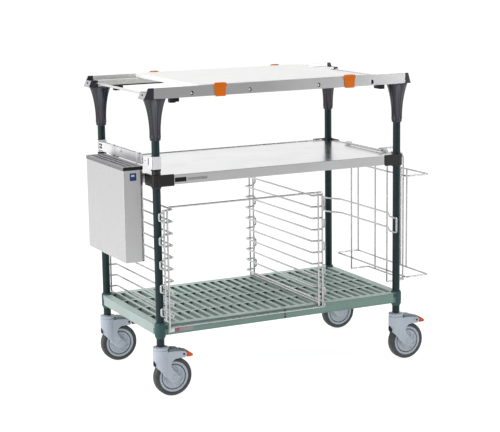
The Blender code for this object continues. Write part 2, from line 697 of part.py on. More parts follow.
def make_knife_box():
    """The box with its two hooks, and the slotted insert in its mouth."""
    lift = joint_empty("knife_box_lift", (HANGER_X[0], 0.0, HANGER_TOP))
    shell = open_box("knife_box")
    top = HANGER_TOP + 0.0005
    straps = []
    for y in STRAP_Y:
        low_y, high_y = y - STRAP_WIDTH / 2.0, y + STRAP_WIDTH / 2.0
        lip = HANGER_X[1] + GAP
        outline = [
            (BOX_X_IN - BOX_SHEET * 0.8, BOX_TOP - 0.012), (BOX_X_IN + BOX_SHEET * 0.4, BOX_TOP - 0.012),
            (BOX_X_IN + BOX_SHEET * 0.4, top), (lip, top), (lip, top - 0.016),
            (lip + BOX_SHEET, top - 0.016), (lip + BOX_SHEET, top + BOX_SHEET),
            (BOX_X_IN - BOX_SHEET * 0.8, top + BOX_SHEET)]
        strap = plate_mesh("strap", outline, high_y - low_y)
        move_mesh(strap, Matrix.Translation((0.0, y, 0.0)) @ UPRIGHT_FRAME)
        straps.append(strap)
    mesh = union("knife_box", shell, *straps)
    box_place = ((BOX_X_OUT + BOX_X_IN) / 2.0, (BOX_Y_FRONT + BOX_Y_BACK) / 2.0, BOX_BOTTOM)
    add_part("knife_box", mesh, "box_steel", box_place, lift, False)

    wall = BOX_SHEET + GAP
    plug = box_mesh("plug", (BOX_X_OUT + wall, BOX_Y_FRONT + wall, BOX_TOP - 0.010),
                    (BOX_X_IN - wall, BOX_Y_BACK - wall, BOX_TOP + 0.002))
    flange = box_mesh("flange", (BOX_X_OUT - 0.0012, BOX_Y_FRONT - 0.0012, BOX_TOP + GAP),
                      (BOX_X_IN - wall - 0.0002, BOX_Y_BACK + 0.0012, BOX_TOP + 0.0035))
    insert = union("insert", plug, flange)
    slots = []
    rows, columns = 3, 2
    length = (BOX_Y_BACK - BOX_Y_FRONT - 0.02) / columns
    for row in range(rows):
        x = (BOX_X_OUT + BOX_X_IN) / 2.0 + (row - 1) * 0.0170
        for column in range(columns):
            y = BOX_Y_FRONT + 0.01 + length * (column + 0.5)
            slots.append(box_mesh("slot", (x - 0.003, y - length / 2.0 + 0.006, 0.70),
                                  (x + 0.003, y + length / 2.0 - 0.006, 0.80)))
    mesh = cut("insert", insert, *slots)
    add_part("knife_box_insert", mesh, "insert_grey",
             (box_place[0], box_place[1], BOX_TOP), lift, False)


# ----------------------------------------------------------------- tray slides
def rung_height(index):
    return RUNG_TOP - RUNG_PITCH * index


def tray_rack_wires(uprights, rung_x, reach):
    """Rungs, uprights and side loops of one tray slide."""
    inner, outer = uprights
    out = 1.0 if outer > inner else -1.0
    weld_y = UPRIGHT_Y - WELD
    wires = []
    for index in range(RUNG_COUNT):
        z = rung_height(index)
        wires.append(bent_wire("rung", [
            (outer + out * 0.0025, -weld_y, z), (rung_x, -weld_y, z), (rung_x, weld_y, z),
            (outer + out * 0.0025, weld_y, z)], 0.010))
    for sy in (-1.0, 1.0):
        for index in range(0, RUNG_COUNT - 1, 2):
            high, low = rung_height(index) - LOOP_DROP, rung_height(index + 1) + LOOP_DROP
            wires.append(bent_wire("loop", [
                (outer - out * 0.0004, sy * (UPRIGHT_Y - 0.0003), high),
                (outer + out * reach, sy * (UPRIGHT_Y - 0.0003), high),
                (outer + out * reach, sy * (UPRIGHT_Y - 0.0003), low),
                (outer - out * 0.0004, sy * (UPRIGHT_Y - 0.0003), low)], 0.006))
    return wires


def make_left_slide():
    """The slide beside the left posts."""
    wires = tray_rack_wires(LEFT_UPRIGHTS, LEFT_RUNG_X, LEFT_LOOP_REACH)
    for x, foot in zip(LEFT_UPRIGHTS, (RACK_FOOT, 0.2480)):
        for sy in (-1.0, 1.0):
            wires.append(wire_mesh("upright", [
                (x, sy * UPRIGHT_Y, RUNG_TOP + 0.004), (x, sy * UPRIGHT_Y, foot)]))
    base_z = FRAME_TOP + WIRE_R + 0.0007
    base = wire_mesh("base", [
        (LEFT_UPRIGHTS[0] + BASE_END, -UPRIGHT_Y + BASE_END, base_z),
        (LEFT_UPRIGHTS[0] + BASE_END, UPRIGHT_Y - BASE_END, base_z)])
    mesh = union("slide", base, *wires)
    add_part("tray_slide_left", mesh, "wire_chrome", (LEFT_UPRIGHTS[0], 0.0, RACK_FOOT))


def make_right_slide():
    """The free-standing slide, with the two wires that tie it to the left one."""
    wires = tray_rack_wires(RIGHT_UPRIGHTS, RIGHT_RUNG_X, RIGHT_LOOP_REACH)
    inner, outer = RIGHT_UPRIGHTS
    for sy, head in ((-1.0, CROSS_WIRE_TOP - 0.0006), (1.0, RUNG_TOP + 0.004)):
        wires.append(wire_mesh("upright", [
            (inner, sy * UPRIGHT_Y, head), (inner, sy * UPRIGHT_Y, RACK_FOOT)]))
    wires.append(wire_mesh("upright", [
        (outer, UPRIGHT_Y, RUNG_TOP + 0.004), (outer, UPRIGHT_Y, RACK_FOOT)]))
    wires.append(bent_wire("tie_high", [
        (CROSS_WIRE_END, -UPRIGHT_Y, CROSS_WIRE_TOP), (outer, -UPRIGHT_Y, CROSS_WIRE_TOP),
        (outer, -UPRIGHT_Y, RACK_FOOT)], 0.008))
    base_z = FRAME_TOP + WIRE_R + 0.0007
    wires.append(bent_wire("tie_low", [
        (CROSS_WIRE_END, -UPRIGHT_Y - WELD, CROSS_WIRE_LOW),
        (outer + WELD, -UPRIGHT_Y - WELD, CROSS_WIRE_LOW),
        (outer + WELD, -UPRIGHT_Y - WELD, base_z),
        (outer + WELD, UPRIGHT_Y + BASE_END, base_z)], 0.004))
    base = wire_mesh("base", [
        (inner + BASE_END, -UPRIGHT_Y + BASE_END, base_z),
        (inner + BASE_END, UPRIGHT_Y - BASE_END, base_z)])
    mesh = union("slide", base, *wires)
    add_part("tray_slide_right", mesh, "wire_chrome", (inner, 0.0, RACK_FOOT))


# ---------------------------------------------------------------- board pocket
def make_pocket():
    """The wire pocket hooked over the middle shelf's right edge."""
    back_y, front_y = 0.0970, -0.1440
    riser_y, divider_y = -0.1325, 0.0520
    floor_x, floor_bend = 0.5290, 0.0060
    riser_x = floor_x + 0.0004
    riser_foot = POCKET_FLOOR + 0.0006
    corners = ((POCKET_NEAR, POCKET_FRONT), (POCKET_FAR, POCKET_FRONT),
               (POCKET_FAR, POCKET_BACK), (POCKET_NEAR, POCKET_BACK))
    wires = []
    for z in (POCKET_HIGH, POCKET_LOW):
        wires.append(bent_wire("ring", [(x, y, z) for x, y in corners], 0.010, cyclic=True))
    wires.append(bent_wire("hanger", [
        (POCKET_HANGER, back_y, POCKET_FLOOR), (POCKET_HANGER, back_y, POCKET_HOOK_Z),
        (POCKET_HOOK_END, back_y, POCKET_HOOK_Z), (POCKET_HOOK_END, front_y, POCKET_HOOK_Z),
        (POCKET_HANGER, front_y, POCKET_HOOK_Z), (POCKET_HANGER, front_y, POCKET_FLOOR)], 0.004))
    wires.append(bent_wire("floor", [
        (POCKET_HANGER - 0.001, back_y, POCKET_FLOOR), (floor_x, back_y, POCKET_FLOOR),
        (floor_x, front_y, POCKET_FLOOR), (POCKET_HANGER - 0.001, front_y, POCKET_FLOOR)], floor_bend))
    wires.append(bent_wire("riser", [
        (riser_x, riser_y, riser_foot), (riser_x, riser_y, 0.690),
        (riser_x - 0.030, riser_y, POCKET_HOOK_Z + WELD),
        (POCKET_HOOK_END - 0.001, riser_y, POCKET_HOOK_Z + WELD)], 0.012))
    wires.append(bent_wire("divider", [
        (riser_x, divider_y, riser_foot), (riser_x, divider_y, POCKET_HIGH + WELD),
        (POCKET_FAR + 0.001, divider_y, POCKET_HIGH + WELD)], floor_bend))
    far_weld = POCKET_FAR - WELD
    for y in (0.1950, -0.0950, -0.1330):
        wires.append(wire_mesh("bar", [
            (far_weld, y, POCKET_LOW - 0.001), (far_weld, y, POCKET_HIGH + 0.001)]))
    near_hoop = POCKET_HANGER - WELD
    hook_x, wrap_y = POST_X - 0.0165, POST_Y + 0.0165
    path = []
    for sy, order in ((-1, HOOP_Z), (1, HOOP_Z[::-1])):
        leg = [(near_hoop, sy * 0.1600), (hook_x, sy * 0.2160), (hook_x, sy * wrap_y),
               (HOOP_CLOSE_X, sy * wrap_y)]
        path += [(x, y, order[0]) for x, y in leg]
        path += [(x, y, order[1]) for x, y in reversed(leg)]
    base = bent_wire("hoop", path, 0.006, cyclic=True)
    mesh = union("pocket", base, *wires)
    add_part("board_pocket", mesh, "wire_chrome", (POCKET_HANGER, 0.0, POCKET_FLOOR))


# --------------------------------------------------------------------- casters
def fork_mesh():
    """Stem, collar, crown and two legs, about the swivel axis."""
    outline = [
        (-0.0260, 0.1490), (-0.0260, 0.1020), (-0.0180, 0.0880), (0.0010, 0.0720), (0.0220, 0.0535),
        (0.0380, 0.0480), (0.0500, 0.0530), (0.0560, 0.0640), (0.0390, 0.0815), (0.0270, 0.0990),
        (0.0275, 0.1150), (0.0405, 0.1230), (0.0600, 0.1240), (0.0760, 0.1240), (0.0810, 0.1330),
        (0.0790, 0.1430), (0.0680, 0.1505)]
    pieces = []
    for sy in (-1, 1):
        leg = plate_mesh("leg", outline, FORK_OUTER - FORK_INNER)
        move_mesh(leg, Matrix.Translation((0.0, sy * (FORK_OUTER + FORK_INNER) / 2.0, 0.0)) @ UPRIGHT_FRAME)
        pieces.append(leg)
    reach = FORK_OUTER - 0.0004
    pieces.append(box_mesh("crown", (-0.0255, -reach, 0.1320), (0.0585, reach, 0.1518)))
    shroud = box_mesh("shroud", (-0.0255, -reach, 0.0975), (-0.0200, reach, 0.1400))
    window = rod_mesh("window", (-0.04, 0, 0.1130), (0.0, 0, 0.1130), 0.0130, 16)
    pieces.append(cut("shroud", shroud, window))
    pieces.append(rod_mesh("axle", (WHEEL_TRAIL, -reach, WHEEL_Z), (WHEEL_TRAIL, reach, WHEEL_Z), AXLE_R, 12))
    pieces.append(rod_mesh("pin", (PIVOT_X, -reach, PIVOT_Z), (PIVOT_X, reach, PIVOT_Z), PIVOT_R, 8))
    stem = turned_mesh("stem", [
        (0.0, STEM_BORE_TOP - 0.002), (STEM_BORE_R - GAP, STEM_BORE_TOP - 0.002),
        (STEM_BORE_R - GAP, POST_BOTTOM - 0.0005), (0.0245, POST_BOTTOM - 0.0005),
        (0.0245, 0.1400), (0.0, 0.1400)], SLEEVE_SIDES)
    return union("fork", stem, *pieces)


def hub_mesh():
    """The wheel's disc, bored for the axle, turned about Z."""
    half = TYRE_HALF + 0.0005
    side = [(0.0150, 0.0090), (TYRE_INNER_R - GAP, 0.0100)]
    bore = AXLE_R + 0.0004
    profile = side + [(r, -z) for r, z in reversed(side)] + [(bore, -half), (bore, half)]
    return turned_mesh("hub", profile, WHEEL_SIDES, closed=True)


def tyre_mesh():
    """The soft tread ring, turned about Z."""
    half = TYRE_HALF
    profile = [
        (TYRE_INNER_R, half - 0.001), (0.0590, half - 0.001), (WHEEL_R, half - 0.007),
        (WHEEL_R, -half + 0.007), (0.0590, -half + 0.001), (TYRE_INNER_R, -half + 0.001)]
    return turned_mesh("tyre", profile, WHEEL_SIDES, closed=True)


def pedal_mesh():
    """The brake pedal, bored for its pin."""
    outline = [
        (0.0625, 0.1340), (0.0680, 0.1285), (0.0785, 0.1262), (0.0965, 0.1245), (0.1015, 0.1262),
        (0.1030, 0.1300), (0.0990, 0.1345), (0.0890, 0.1415), (0.0785, 0.1465), (0.0680, 0.1490),
        (0.0625, 0.1460)]
    body = plate_mesh("pedal", outline, 2.0 * FORK_INNER - 0.0016)
    move_mesh(body, UPRIGHT_FRAME)
    bore = rod_mesh("bore", (PIVOT_X, -0.03, PIVOT_Z), (PIVOT_X, 0.03, PIVOT_Z), PIVOT_R + 0.0005, 8)
    return cut("pedal", body, bore)


def make_casters():
    """Four braked swivel casters, all trailing towards the right end."""
    half_facet = math.pi / WHEEL_SIDES
    lay = Matrix.Rotation(-math.pi / 2.0, 4, "X") @ Matrix.Rotation(half_facet, 4, "Z")
    for end, sx in ENDS:
        for side, sy in SIDES:
            tag = "%s_%s" % (side, end)
            at = Matrix.Translation((sx * POST_X, sy * POST_Y, 0.0))
            swivel = joint_empty("swivel_" + tag, (sx * POST_X, sy * POST_Y, POST_BOTTOM))
            fork = move_mesh(fork_mesh(), at)
            add_part("caster_fork_" + tag, fork, "caster_grey",
                     (sx * POST_X, sy * POST_Y, POST_BOTTOM), swivel)
            axle = Vector((sx * POST_X + WHEEL_TRAIL, sy * POST_Y, WHEEL_Z))
            spin = joint_empty("spin_" + tag, axle, swivel)
            for name, mesh, look in (("wheel_hub_", hub_mesh(), "wheel_grey"),
                                     ("wheel_tyre_", tyre_mesh(), "tyre_dark")):
                move_mesh(mesh, Matrix.Translation(axle) @ lay)
                add_part(name + tag, mesh, look, axle, spin)
            pin = Vector((sx * POST_X + PIVOT_X, sy * POST_Y, PIVOT_Z))
            press = joint_empty("press_" + tag, pin, swivel)
            pedal = move_mesh(pedal_mesh(), at)
            add_part("brake_pedal_" + tag, pedal, "pedal_orange", pin, press)


make_posts()
make_brackets()
make_rails()
make_end_caps()
make_cross_bars()
make_board()
make_middle_shelf()
make_shelf_corners()
make_lower_frame()
make_collars()
make_mats()
make_hanger()
make_knife_box()
make_left_slide()
make_right_slide()
make_pocket()
make_casters()
bpy.context.view_layer.update()
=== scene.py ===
"""The looks of a food service trolley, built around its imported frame. Metres, +Z up."""
import math

import bmesh
import bpy
from mathutils import Matrix, Vector


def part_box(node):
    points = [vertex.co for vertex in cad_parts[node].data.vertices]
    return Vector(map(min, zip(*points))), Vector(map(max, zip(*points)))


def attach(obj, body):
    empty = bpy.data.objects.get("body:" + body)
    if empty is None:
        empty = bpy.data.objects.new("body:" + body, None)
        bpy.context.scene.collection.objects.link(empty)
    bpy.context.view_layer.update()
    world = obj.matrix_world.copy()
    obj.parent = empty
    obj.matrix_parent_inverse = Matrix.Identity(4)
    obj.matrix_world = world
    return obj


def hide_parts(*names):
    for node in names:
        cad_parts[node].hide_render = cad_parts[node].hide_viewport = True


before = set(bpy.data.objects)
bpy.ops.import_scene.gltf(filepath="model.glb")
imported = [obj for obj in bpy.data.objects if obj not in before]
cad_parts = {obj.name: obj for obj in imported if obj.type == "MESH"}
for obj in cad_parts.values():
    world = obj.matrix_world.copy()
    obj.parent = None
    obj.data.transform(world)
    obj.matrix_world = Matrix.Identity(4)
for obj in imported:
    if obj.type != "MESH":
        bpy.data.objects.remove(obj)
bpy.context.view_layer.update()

SIDES = (("front", -1), ("back", 1))
ENDS = (("left", -1), ("right", 1))
CORNERS = [(side + "_" + end, sx, sy) for end, sx in ENDS for side, sy in SIDES]
FACE_OUT = Matrix(((1, 0, 0, 0), (0, 0, -1, 0), (0, 1, 0, 0), (0, 0, 0, 1)))
ALONG_X = Matrix(((0, 0, 1, 0), (1, 0, 0, 0), (0, 1, 0, 0), (0, 0, 0, 1)))
INTO_WALL = Matrix(((1, 0, 0, 0), (0, 0, 1, 0), (0, 1, 0, 0), (0, 0, 0, 1)))


def moved(x, y, z):
    """A shift along the three axes."""
    return Matrix.Translation((x, y, z))


def middle(node):
    """The centre of a frame node's box."""
    low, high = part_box(node)
    return (low + high) / 2.0


# Driving sizes, read from the frame.
POST_LOW, POST_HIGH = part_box("post_front_right")
POST_R = (POST_HIGH.x - POST_LOW.x) / 2.0
POST_X, POST_Y = middle("post_back_right").xy
RAIL_LOW, RAIL_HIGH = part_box("top_rail_back")
BOARD_LOW, BOARD_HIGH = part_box("cutting_board")
SHELF_LOW, SHELF_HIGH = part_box("middle_shelf")
FRAME_LOW, FRAME_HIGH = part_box("lower_shelf_frame")
BOX_LOW, BOX_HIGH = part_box("knife_box_insert")
HANGER_LOW, HANGER_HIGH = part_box("knife_box_hanger")


def at_post(sx, sy):
    """The place of one post's axis, at floor level."""
    return moved(sx * POST_X, sy * POST_Y, 0.0)


def sided(sign, one, other):
    """Two distances from the middle put on one side of it, the lower value first."""
    return sorted((sign * one, sign * other))


# ---------------------------------------------------------------- mesh helpers
def placed(name, data):
    """A new object that holds some data, linked to the scene."""
    obj = bpy.data.objects.new(name, data)
    bpy.context.scene.collection.objects.link(obj)
    return obj


def evaluated(obj):
    """The mesh that an object comes out as; the object itself is removed."""
    bpy.context.view_layer.update()
    made = bpy.data.meshes.new_from_object(obj.evaluated_get(bpy.context.evaluated_depsgraph_get()))
    bpy.data.objects.remove(obj)
    return made


def block(bm, low, high, edge=0.0008, steps=3):
    """A box with rounded edges."""
    low, high = Vector(low), Vector(high)
    verts = bmesh.ops.create_cube(bm, size=1.0)["verts"]
    size, centre = high - low, (low + high) / 2.0
    for vert in verts:
        vert.co = centre + Vector((vert.co.x * size.x, vert.co.y * size.y, vert.co.z * size.z))
    if edge > 0.0:
        edges = list(dict.fromkeys(e for vert in verts for e in vert.link_edges))
        bmesh.ops.bevel(bm, geom=edges, offset=edge, segments=steps, profile=0.5, affect="EDGES")


def merge(bm, other, place=Matrix.Identity(4)):
    """Copy a mesh into a bmesh at a place."""
    copy = other.copy()
    copy.transform(place)
    bm.from_mesh(copy)
    bpy.data.meshes.remove(copy)


def turned(bm, profile, steps=48, place=Matrix.Identity(4), wave=None):
    """Turn a (radius, height) profile about Z; a profile ends on the axis or closes on itself."""
    closed = profile[0] == profile[-1]
    points = profile[:-1] if closed else profile
    rings = []
    for radius, height in points:
        if radius < 1e-6:
            rings.append([bm.verts.new(place @ Vector((0.0, 0.0, height)))])
            continue
        ring = []
        for step in range(steps):
            angle = math.tau * step / steps
            reach = radius * (wave(radius, height, angle) if wave else 1.0)
            here = Vector((reach * math.cos(angle), reach * math.sin(angle), height))
            ring.append(bm.verts.new(place @ here))
        rings.append(ring)
    pairs = list(zip(rings, rings[1:] + rings[:1] if closed else rings[1:]))
    for one, two in pairs:
        for step in range(steps):
            after = (step + 1) % steps
            corners = [one[step % len(one)], one[after % len(one)],
                       two[after % len(two)], two[step % len(two)]]
            bm.faces.new(list(dict.fromkeys(corners)))


def bend(points, radius, closed=False, steps=6):
    """Replace the corners of a polyline with smooth bends."""
    points = [Vector(p) for p in points]
    path = []
    for index, here in enumerate(points):
        if not closed and index in (0, len(points) - 1):
            path.append(here)
            continue
        into, out = points[index - 1] - here, points[(index + 1) % len(points)] - here
        reach = min(radius, into.length * 0.48, out.length * 0.48)
        first, last = here + into.normalized() * reach, here + out.normalized() * reach
        for step in range(steps + 1):
            t = step / steps
            path.append(first.lerp(here, t).lerp(here.lerp(last, t), t))
    return path


def wire(bm, points, radius, sides=12, closed=False):
    """A round wire along a polyline, with softly rounded ends."""
    points = [Vector(p) for p in points]
    count = len(points)
    tangents = []
    for index in range(count):
        ahead = points[(index + 1) % count] if closed or index < count - 1 else points[index]
        behind = points[index - 1] if closed or index > 0 else points[index]
        tangents.append((ahead - behind).normalized())
    normal = tangents[0].orthogonal().normalized()
    rings = []
    stations = [(p, t, 1.0) for p, t in zip(points, tangents)]
    if not closed:
        tip = radius * 0.45
        stations[0] = (points[0] + tangents[0] * tip, tangents[0], 1.0)
        stations[-1] = (points[-1] - tangents[-1] * tip, tangents[-1], 1.0)
        stations.insert(0, (points[0], tangents[0], 0.62))
        stations.append((points[-1], tangents[-1], 0.62))
    for place, tangent, scale in stations:
        normal = (normal - tangent * normal.dot(tangent)).normalized()
        across = tangent.cross(normal)
        ring = []
        for side in range(sides):
            angle = math.tau * side / sides
            offset = normal * math.cos(angle) + across * math.sin(angle)
            ring.append(bm.verts.new(place + offset * radius * scale))
        rings.append(ring)
    pairs = list(zip(rings, rings[1:]))
    turn = 0
    if closed:
        last = rings[-1][0].co - points[-1]
        turn = min(range(sides), key=lambda side: last.angle(rings[0][side].co - points[0]))
        pairs.append((rings[-1], rings[0][turn:] + rings[0][:turn]))
    for one, two in pairs:
        for side in range(sides):
            after = (side + 1) % sides
            bm.faces.new((one[side], one[after], two[after], two[side]))
    if not closed:
        bm.faces.new(rings[0])
        bm.faces.new(rings[-1])


def plate(bm, outline, low, high, edge=0.0006, holes=(), place=Matrix.Identity(4)):
    """A flat outline made thick between two heights, its rims rounded."""
    curve = bpy.data.curves.new("outline", "CURVE")
    curve.dimensions = "2D"
    curve.fill_mode = "BOTH"
    curve.extrude = (high - low) / 2.0 - edge
    curve.bevel_depth = edge
    curve.bevel_resolution = 2
    curve.offset = -edge
    for loop in [outline, *holes]:
        spline = curve.splines.new("POLY")
        spline.points.add(len(loop) - 1)
        for point, here in zip(spline.points, loop):
            point.co = (here[0], here[1], 0.0, 1.0)
        spline.use_cyclic_u = True
    mesh = evaluated(placed("outline", curve))
    shape = bmesh.new()
    shape.from_mesh(mesh)
    bmesh.ops.remove_doubles(shape, verts=shape.verts, dist=0.00001)
    shape.to_mesh(mesh)
    shape.free()
    merge(bm, mesh, place @ moved(0.0, 0.0, (low + high) / 2.0))
    bpy.data.meshes.remove(mesh)


def rounded(points, radius, steps=5):
    """A flat outline with its corners rounded."""
    return [(p.x, p.y) for p in bend([(x, y, 0.0) for x, y in points], radius, True, steps)]


def rectangle(low_x, low_y, high_x, high_y):
    return [(low_x, low_y), (high_x, low_y), (high_x, high_y), (low_x, high_y)]


def to_mesh(bm, name):
    """Finish a bmesh: its faces point out."""
    bmesh.ops.recalc_face_normals(bm, faces=bm.faces)
    mesh = bpy.data.meshes.new(name)
    bm.to_mesh(mesh)
    bm.free()
    return mesh


def modified(mesh, kind, **settings):
    """The mesh after one modifier."""
    holder = placed("holder", mesh)
    modifier = holder.modifiers.new("step", kind)
    for key, value in settings.items():
        setattr(modifier, key, value)
    return evaluated(holder)


def drilled(mesh, cutter):
    """The mesh with another mesh cut out of it."""
    tool = placed("cutter", cutter)
    made = modified(mesh, "BOOLEAN", operation="DIFFERENCE", solver="EXACT", object=tool)
    bpy.data.objects.remove(tool)
    return made


def piece(name, shape, look, body, nodes=(), angle=35.0, place=Matrix.Identity(4)):
    """Put a finished mesh in the scene as a piece of the object."""
    mesh = shape if isinstance(shape, bpy.types.Mesh) else to_mesh(shape, name)
    mesh.transform(place)
    mesh.materials.clear()
    mesh.materials.append(LOOKS[look])
    mesh.shade_smooth()
    mesh.set_sharp_from_angle(angle=math.radians(angle))
    obj = placed(name, mesh)
    weights = obj.modifiers.new("normals", "WEIGHTED_NORMAL")
    weights.keep_sharp = True
    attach(obj, body)
    if nodes:
        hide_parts(*nodes)
    return obj


def blocks(name, look, boxes, body="frame", nodes=(), place=Matrix.Identity(4)):
    """A piece made of rounded boxes, each given by its spans in x, y and z and its edge."""
    bm = bmesh.new()
    for spans in boxes:
        low, high = zip(*spans[:3])
        block(bm, low, high, spans[3])
    piece(name, bm, look, body, nodes, place=place)


def sticker(name, look, body, corners, radius, y, depths, edge=0.0002):
    """A thin rounded patch on a front face, its corners given in x and z."""
    bm = bmesh.new()
    plate(bm, rounded(rectangle(*corners), radius), *depths, edge, place=moved(0.0, y, 0.0) @ FACE_OUT)
    piece(name, bm, look, body)


# ------------------------------------------------------------------- materials
def linear(red, green, blue):
    """A display colour, 0 to 255, as linear light."""
    values = []
    for value in (red, green, blue):
        share = value / 255.0
        values.append(share / 12.92 if share <= 0.04045 else ((share + 0.055) / 1.055) ** 2.4)
    return (*values, 1.0)


class Look:
    """A Principled material with small methods that add its layers."""

    def __init__(self, name, metallic=0.0, specular=0.3):
        self.material = bpy.data.materials.new(name)
        self.material.use_nodes = True
        self.tree = self.material.node_tree
        self.shader = self.tree.nodes["Principled BSDF"]
        self.shader.inputs["Metallic"].default_value = metallic
        self.shader.inputs["Specular IOR Level"].default_value = specular
        coordinates = self.tree.nodes.new("ShaderNodeTexCoord")
        self.place = coordinates.outputs["Object"]
        self.facing = coordinates.outputs["Normal"]
        self.bump_chain = None

    def node(self, kind, **inputs):
        made = self.tree.nodes.new(kind)
        for key, value in inputs.items():
            made.inputs[key.replace("_", " ")].default_value = value
        return made

    def link(self, source, target):
        self.tree.links.new(source, target)

    def noise(self, scale, detail=3.0, stretch=(1.0, 1.0, 1.0), roughness=0.55):
        """Noise in the object's own space, stretched along an axis if asked."""
        mapping = self.node("ShaderNodeMapping", Scale=stretch)
        self.link(self.place, mapping.inputs["Vector"])
        noise = self.node("ShaderNodeTexNoise", Scale=scale, Detail=detail, Roughness=roughness)
        self.link(mapping.outputs["Vector"], noise.inputs["Vector"])
        return noise.outputs["Fac"]

    def over(self, base, noise, amount):
        """A value with a little noise laid over it."""
        total = self.node("ShaderNodeMath")
        total.operation = "MULTIPLY_ADD"
        total.inputs[1].default_value = amount
        self.link(noise, total.inputs[0])
        self.link(base, total.inputs[2])
        return total.outputs["Value"]

    def colour(self, fac, dark, light, low=0.35, high=0.65):
        """Base colour between two shades, driven by a mask."""
        ramp = self.node("ShaderNodeValToRGB")
        ramp.color_ramp.elements[0].position = low
        ramp.color_ramp.elements[0].color = dark
        ramp.color_ramp.elements[1].position = high
        ramp.color_ramp.elements[1].color = light
        self.link(fac, ramp.inputs["Fac"])
        self.link(ramp.outputs["Color"], self.shader.inputs["Base Color"])

    def gloss(self, fac, low, high):
        """Roughness between two values, driven by a mask."""
        spread = self.node("ShaderNodeMapRange", From_Min=0.3, From_Max=0.7, To_Min=low, To_Max=high)
        self.link(fac, spread.inputs["Value"])
        self.link(spread.outputs["Result"], self.shader.inputs["Roughness"])

    def bump(self, fac, depth):
        """Relief of a depth in metres, laid over the relief added before it."""
        bump = self.node("ShaderNodeBump", Strength=1.0, Distance=depth)
        self.link(fac, bump.inputs["Height"])
        if self.bump_chain:
            self.link(self.bump_chain, bump.inputs["Normal"])
        self.bump_chain = bump.outputs["Normal"]
        self.link(self.bump_chain, self.shader.inputs["Normal"])


def shade(colour, factor):
    """A colour made darker or lighter."""
    return (*[min(1.0, value * factor) for value in colour[:3]], 1.0)


def moulded(name, colour, low=0.35, high=0.5, grain=0.00003, spread=0.06, specular=0.3, wave=0.00012):
    """Moulded plastic: faint mottling, a fine grained skin and a slow waviness."""
    look = Look(name, specular=specular)
    look.colour(look.noise(9.0, 4.0), shade(colour, 1.0 - spread), shade(colour, 1.0 + spread))
    look.gloss(look.noise(60.0, 4.0), low, high)
    look.bump(look.noise(1400.0, 2.0), grain)
    look.bump(look.noise(35.0, 2.0), wave)
    return look.material


def brushed(name, colour, stretch, low, high, depth=0.00002, spread=0.05, specular=0.5):
    """Brushed metal: long fine scratches along one axis over a slow cloudiness."""
    look = Look(name, metallic=1.0, specular=specular)
    scratches = look.noise(1.0, 3.0, stretch, 0.7)
    look.colour(scratches, shade(colour, 1.0 - spread), shade(colour, 1.0 + spread), 0.3, 0.7)
    look.gloss(look.noise(7.0, 3.0), low, high)
    look.bump(scratches, depth)
    return look.material


def epoxy(name, colour, low, high):
    """A smooth epoxy coat over steel, with an orange-peel skin."""
    look = Look(name, specular=0.22)
    look.colour(look.noise(14.0, 4.0), shade(colour, 0.88), shade(colour, 1.14))
    look.gloss(look.noise(40.0, 3.0), low, high)
    look.bump(look.noise(420.0, 2.0), 0.00006)
    return look.material


def plated(name, colour, low, high):
    """Bright plated wire with small ripples from drawing and dipping."""
    look = Look(name, metallic=1.0)
    look.colour(look.noise(120.0, 3.0), shade(colour, 0.86), shade(colour, 1.1))
    look.gloss(look.noise(260.0, 3.0), low, high)
    look.bump(look.noise(500.0, 2.0), 0.00006)
    return look.material


def painted_facing_light(name, side, top):
    """Moulded plastic with painted light and shade set by facing: lightest on its top faces, mid on those to
    the left and dark elsewhere.
    """
    look = Look(name)
    toward = look.node("ShaderNodeVectorMath")
    toward.operation = "DOT_PRODUCT"
    toward.inputs[1].default_value = (-0.55, 0.0, 0.9)
    look.link(look.facing, toward.inputs[0])
    painted_light_mask = look.over(toward.outputs["Value"], look.noise(9.0, 4.0), 0.15)
    look.colour(painted_light_mask, side, top, 0.3, 1.0)
    look.gloss(look.noise(60.0, 4.0), 0.33, 0.46)
    look.bump(look.noise(1400.0, 2.0), 0.00003)
    return look.material


def painted_streak_highlights(name, painted_highlight_tones):
    """Glossy moulded plastic with painted highlights: light and dark streaks set by facing direction round
    the part stand in for reflections in its flutes.
    """
    look = Look(name, specular=0.5)
    turn = look.node("ShaderNodeSeparateXYZ")
    look.link(look.facing, turn.inputs[0])
    around = look.node("ShaderNodeMapRange", From_Min=-1.0, From_Max=1.0)
    look.link(turn.outputs["X"], around.inputs["Value"])
    wander = look.over(around.outputs["Result"], look.noise(14.0, 3.0), 0.05)
    ramp = look.node("ShaderNodeValToRGB")
    stops = ramp.color_ramp.elements
    stops[0].color = painted_highlight_tones[0][1]
    stops[1].position, stops[1].color = painted_highlight_tones[-1]
    for position, colour in painted_highlight_tones[1:-1]:
        stops.new(position).color = colour
    look.link(wander, ramp.inputs["Fac"])
    look.link(ramp.outputs["Color"], look.shader.inputs["Base Color"])
    look.gloss(look.noise(30.0, 3.0), 0.18, 0.26)
    look.bump(look.noise(1600.0, 2.0), 0.000008)
    return look.material


def rubber(name, colour):
    """Soft tread rubber, dull, scuffed lighter in patches."""
    look = Look(name, specular=0.35)
    look.colour(look.noise(45.0, 6.0, roughness=0.65), shade(colour, 0.8), shade(colour, 1.35), 0.4, 0.72)
    look.gloss(look.noise(90.0, 4.0), 0.5, 0.75)
    look.bump(look.noise(700.0, 3.0), 0.00012)
    return look.material


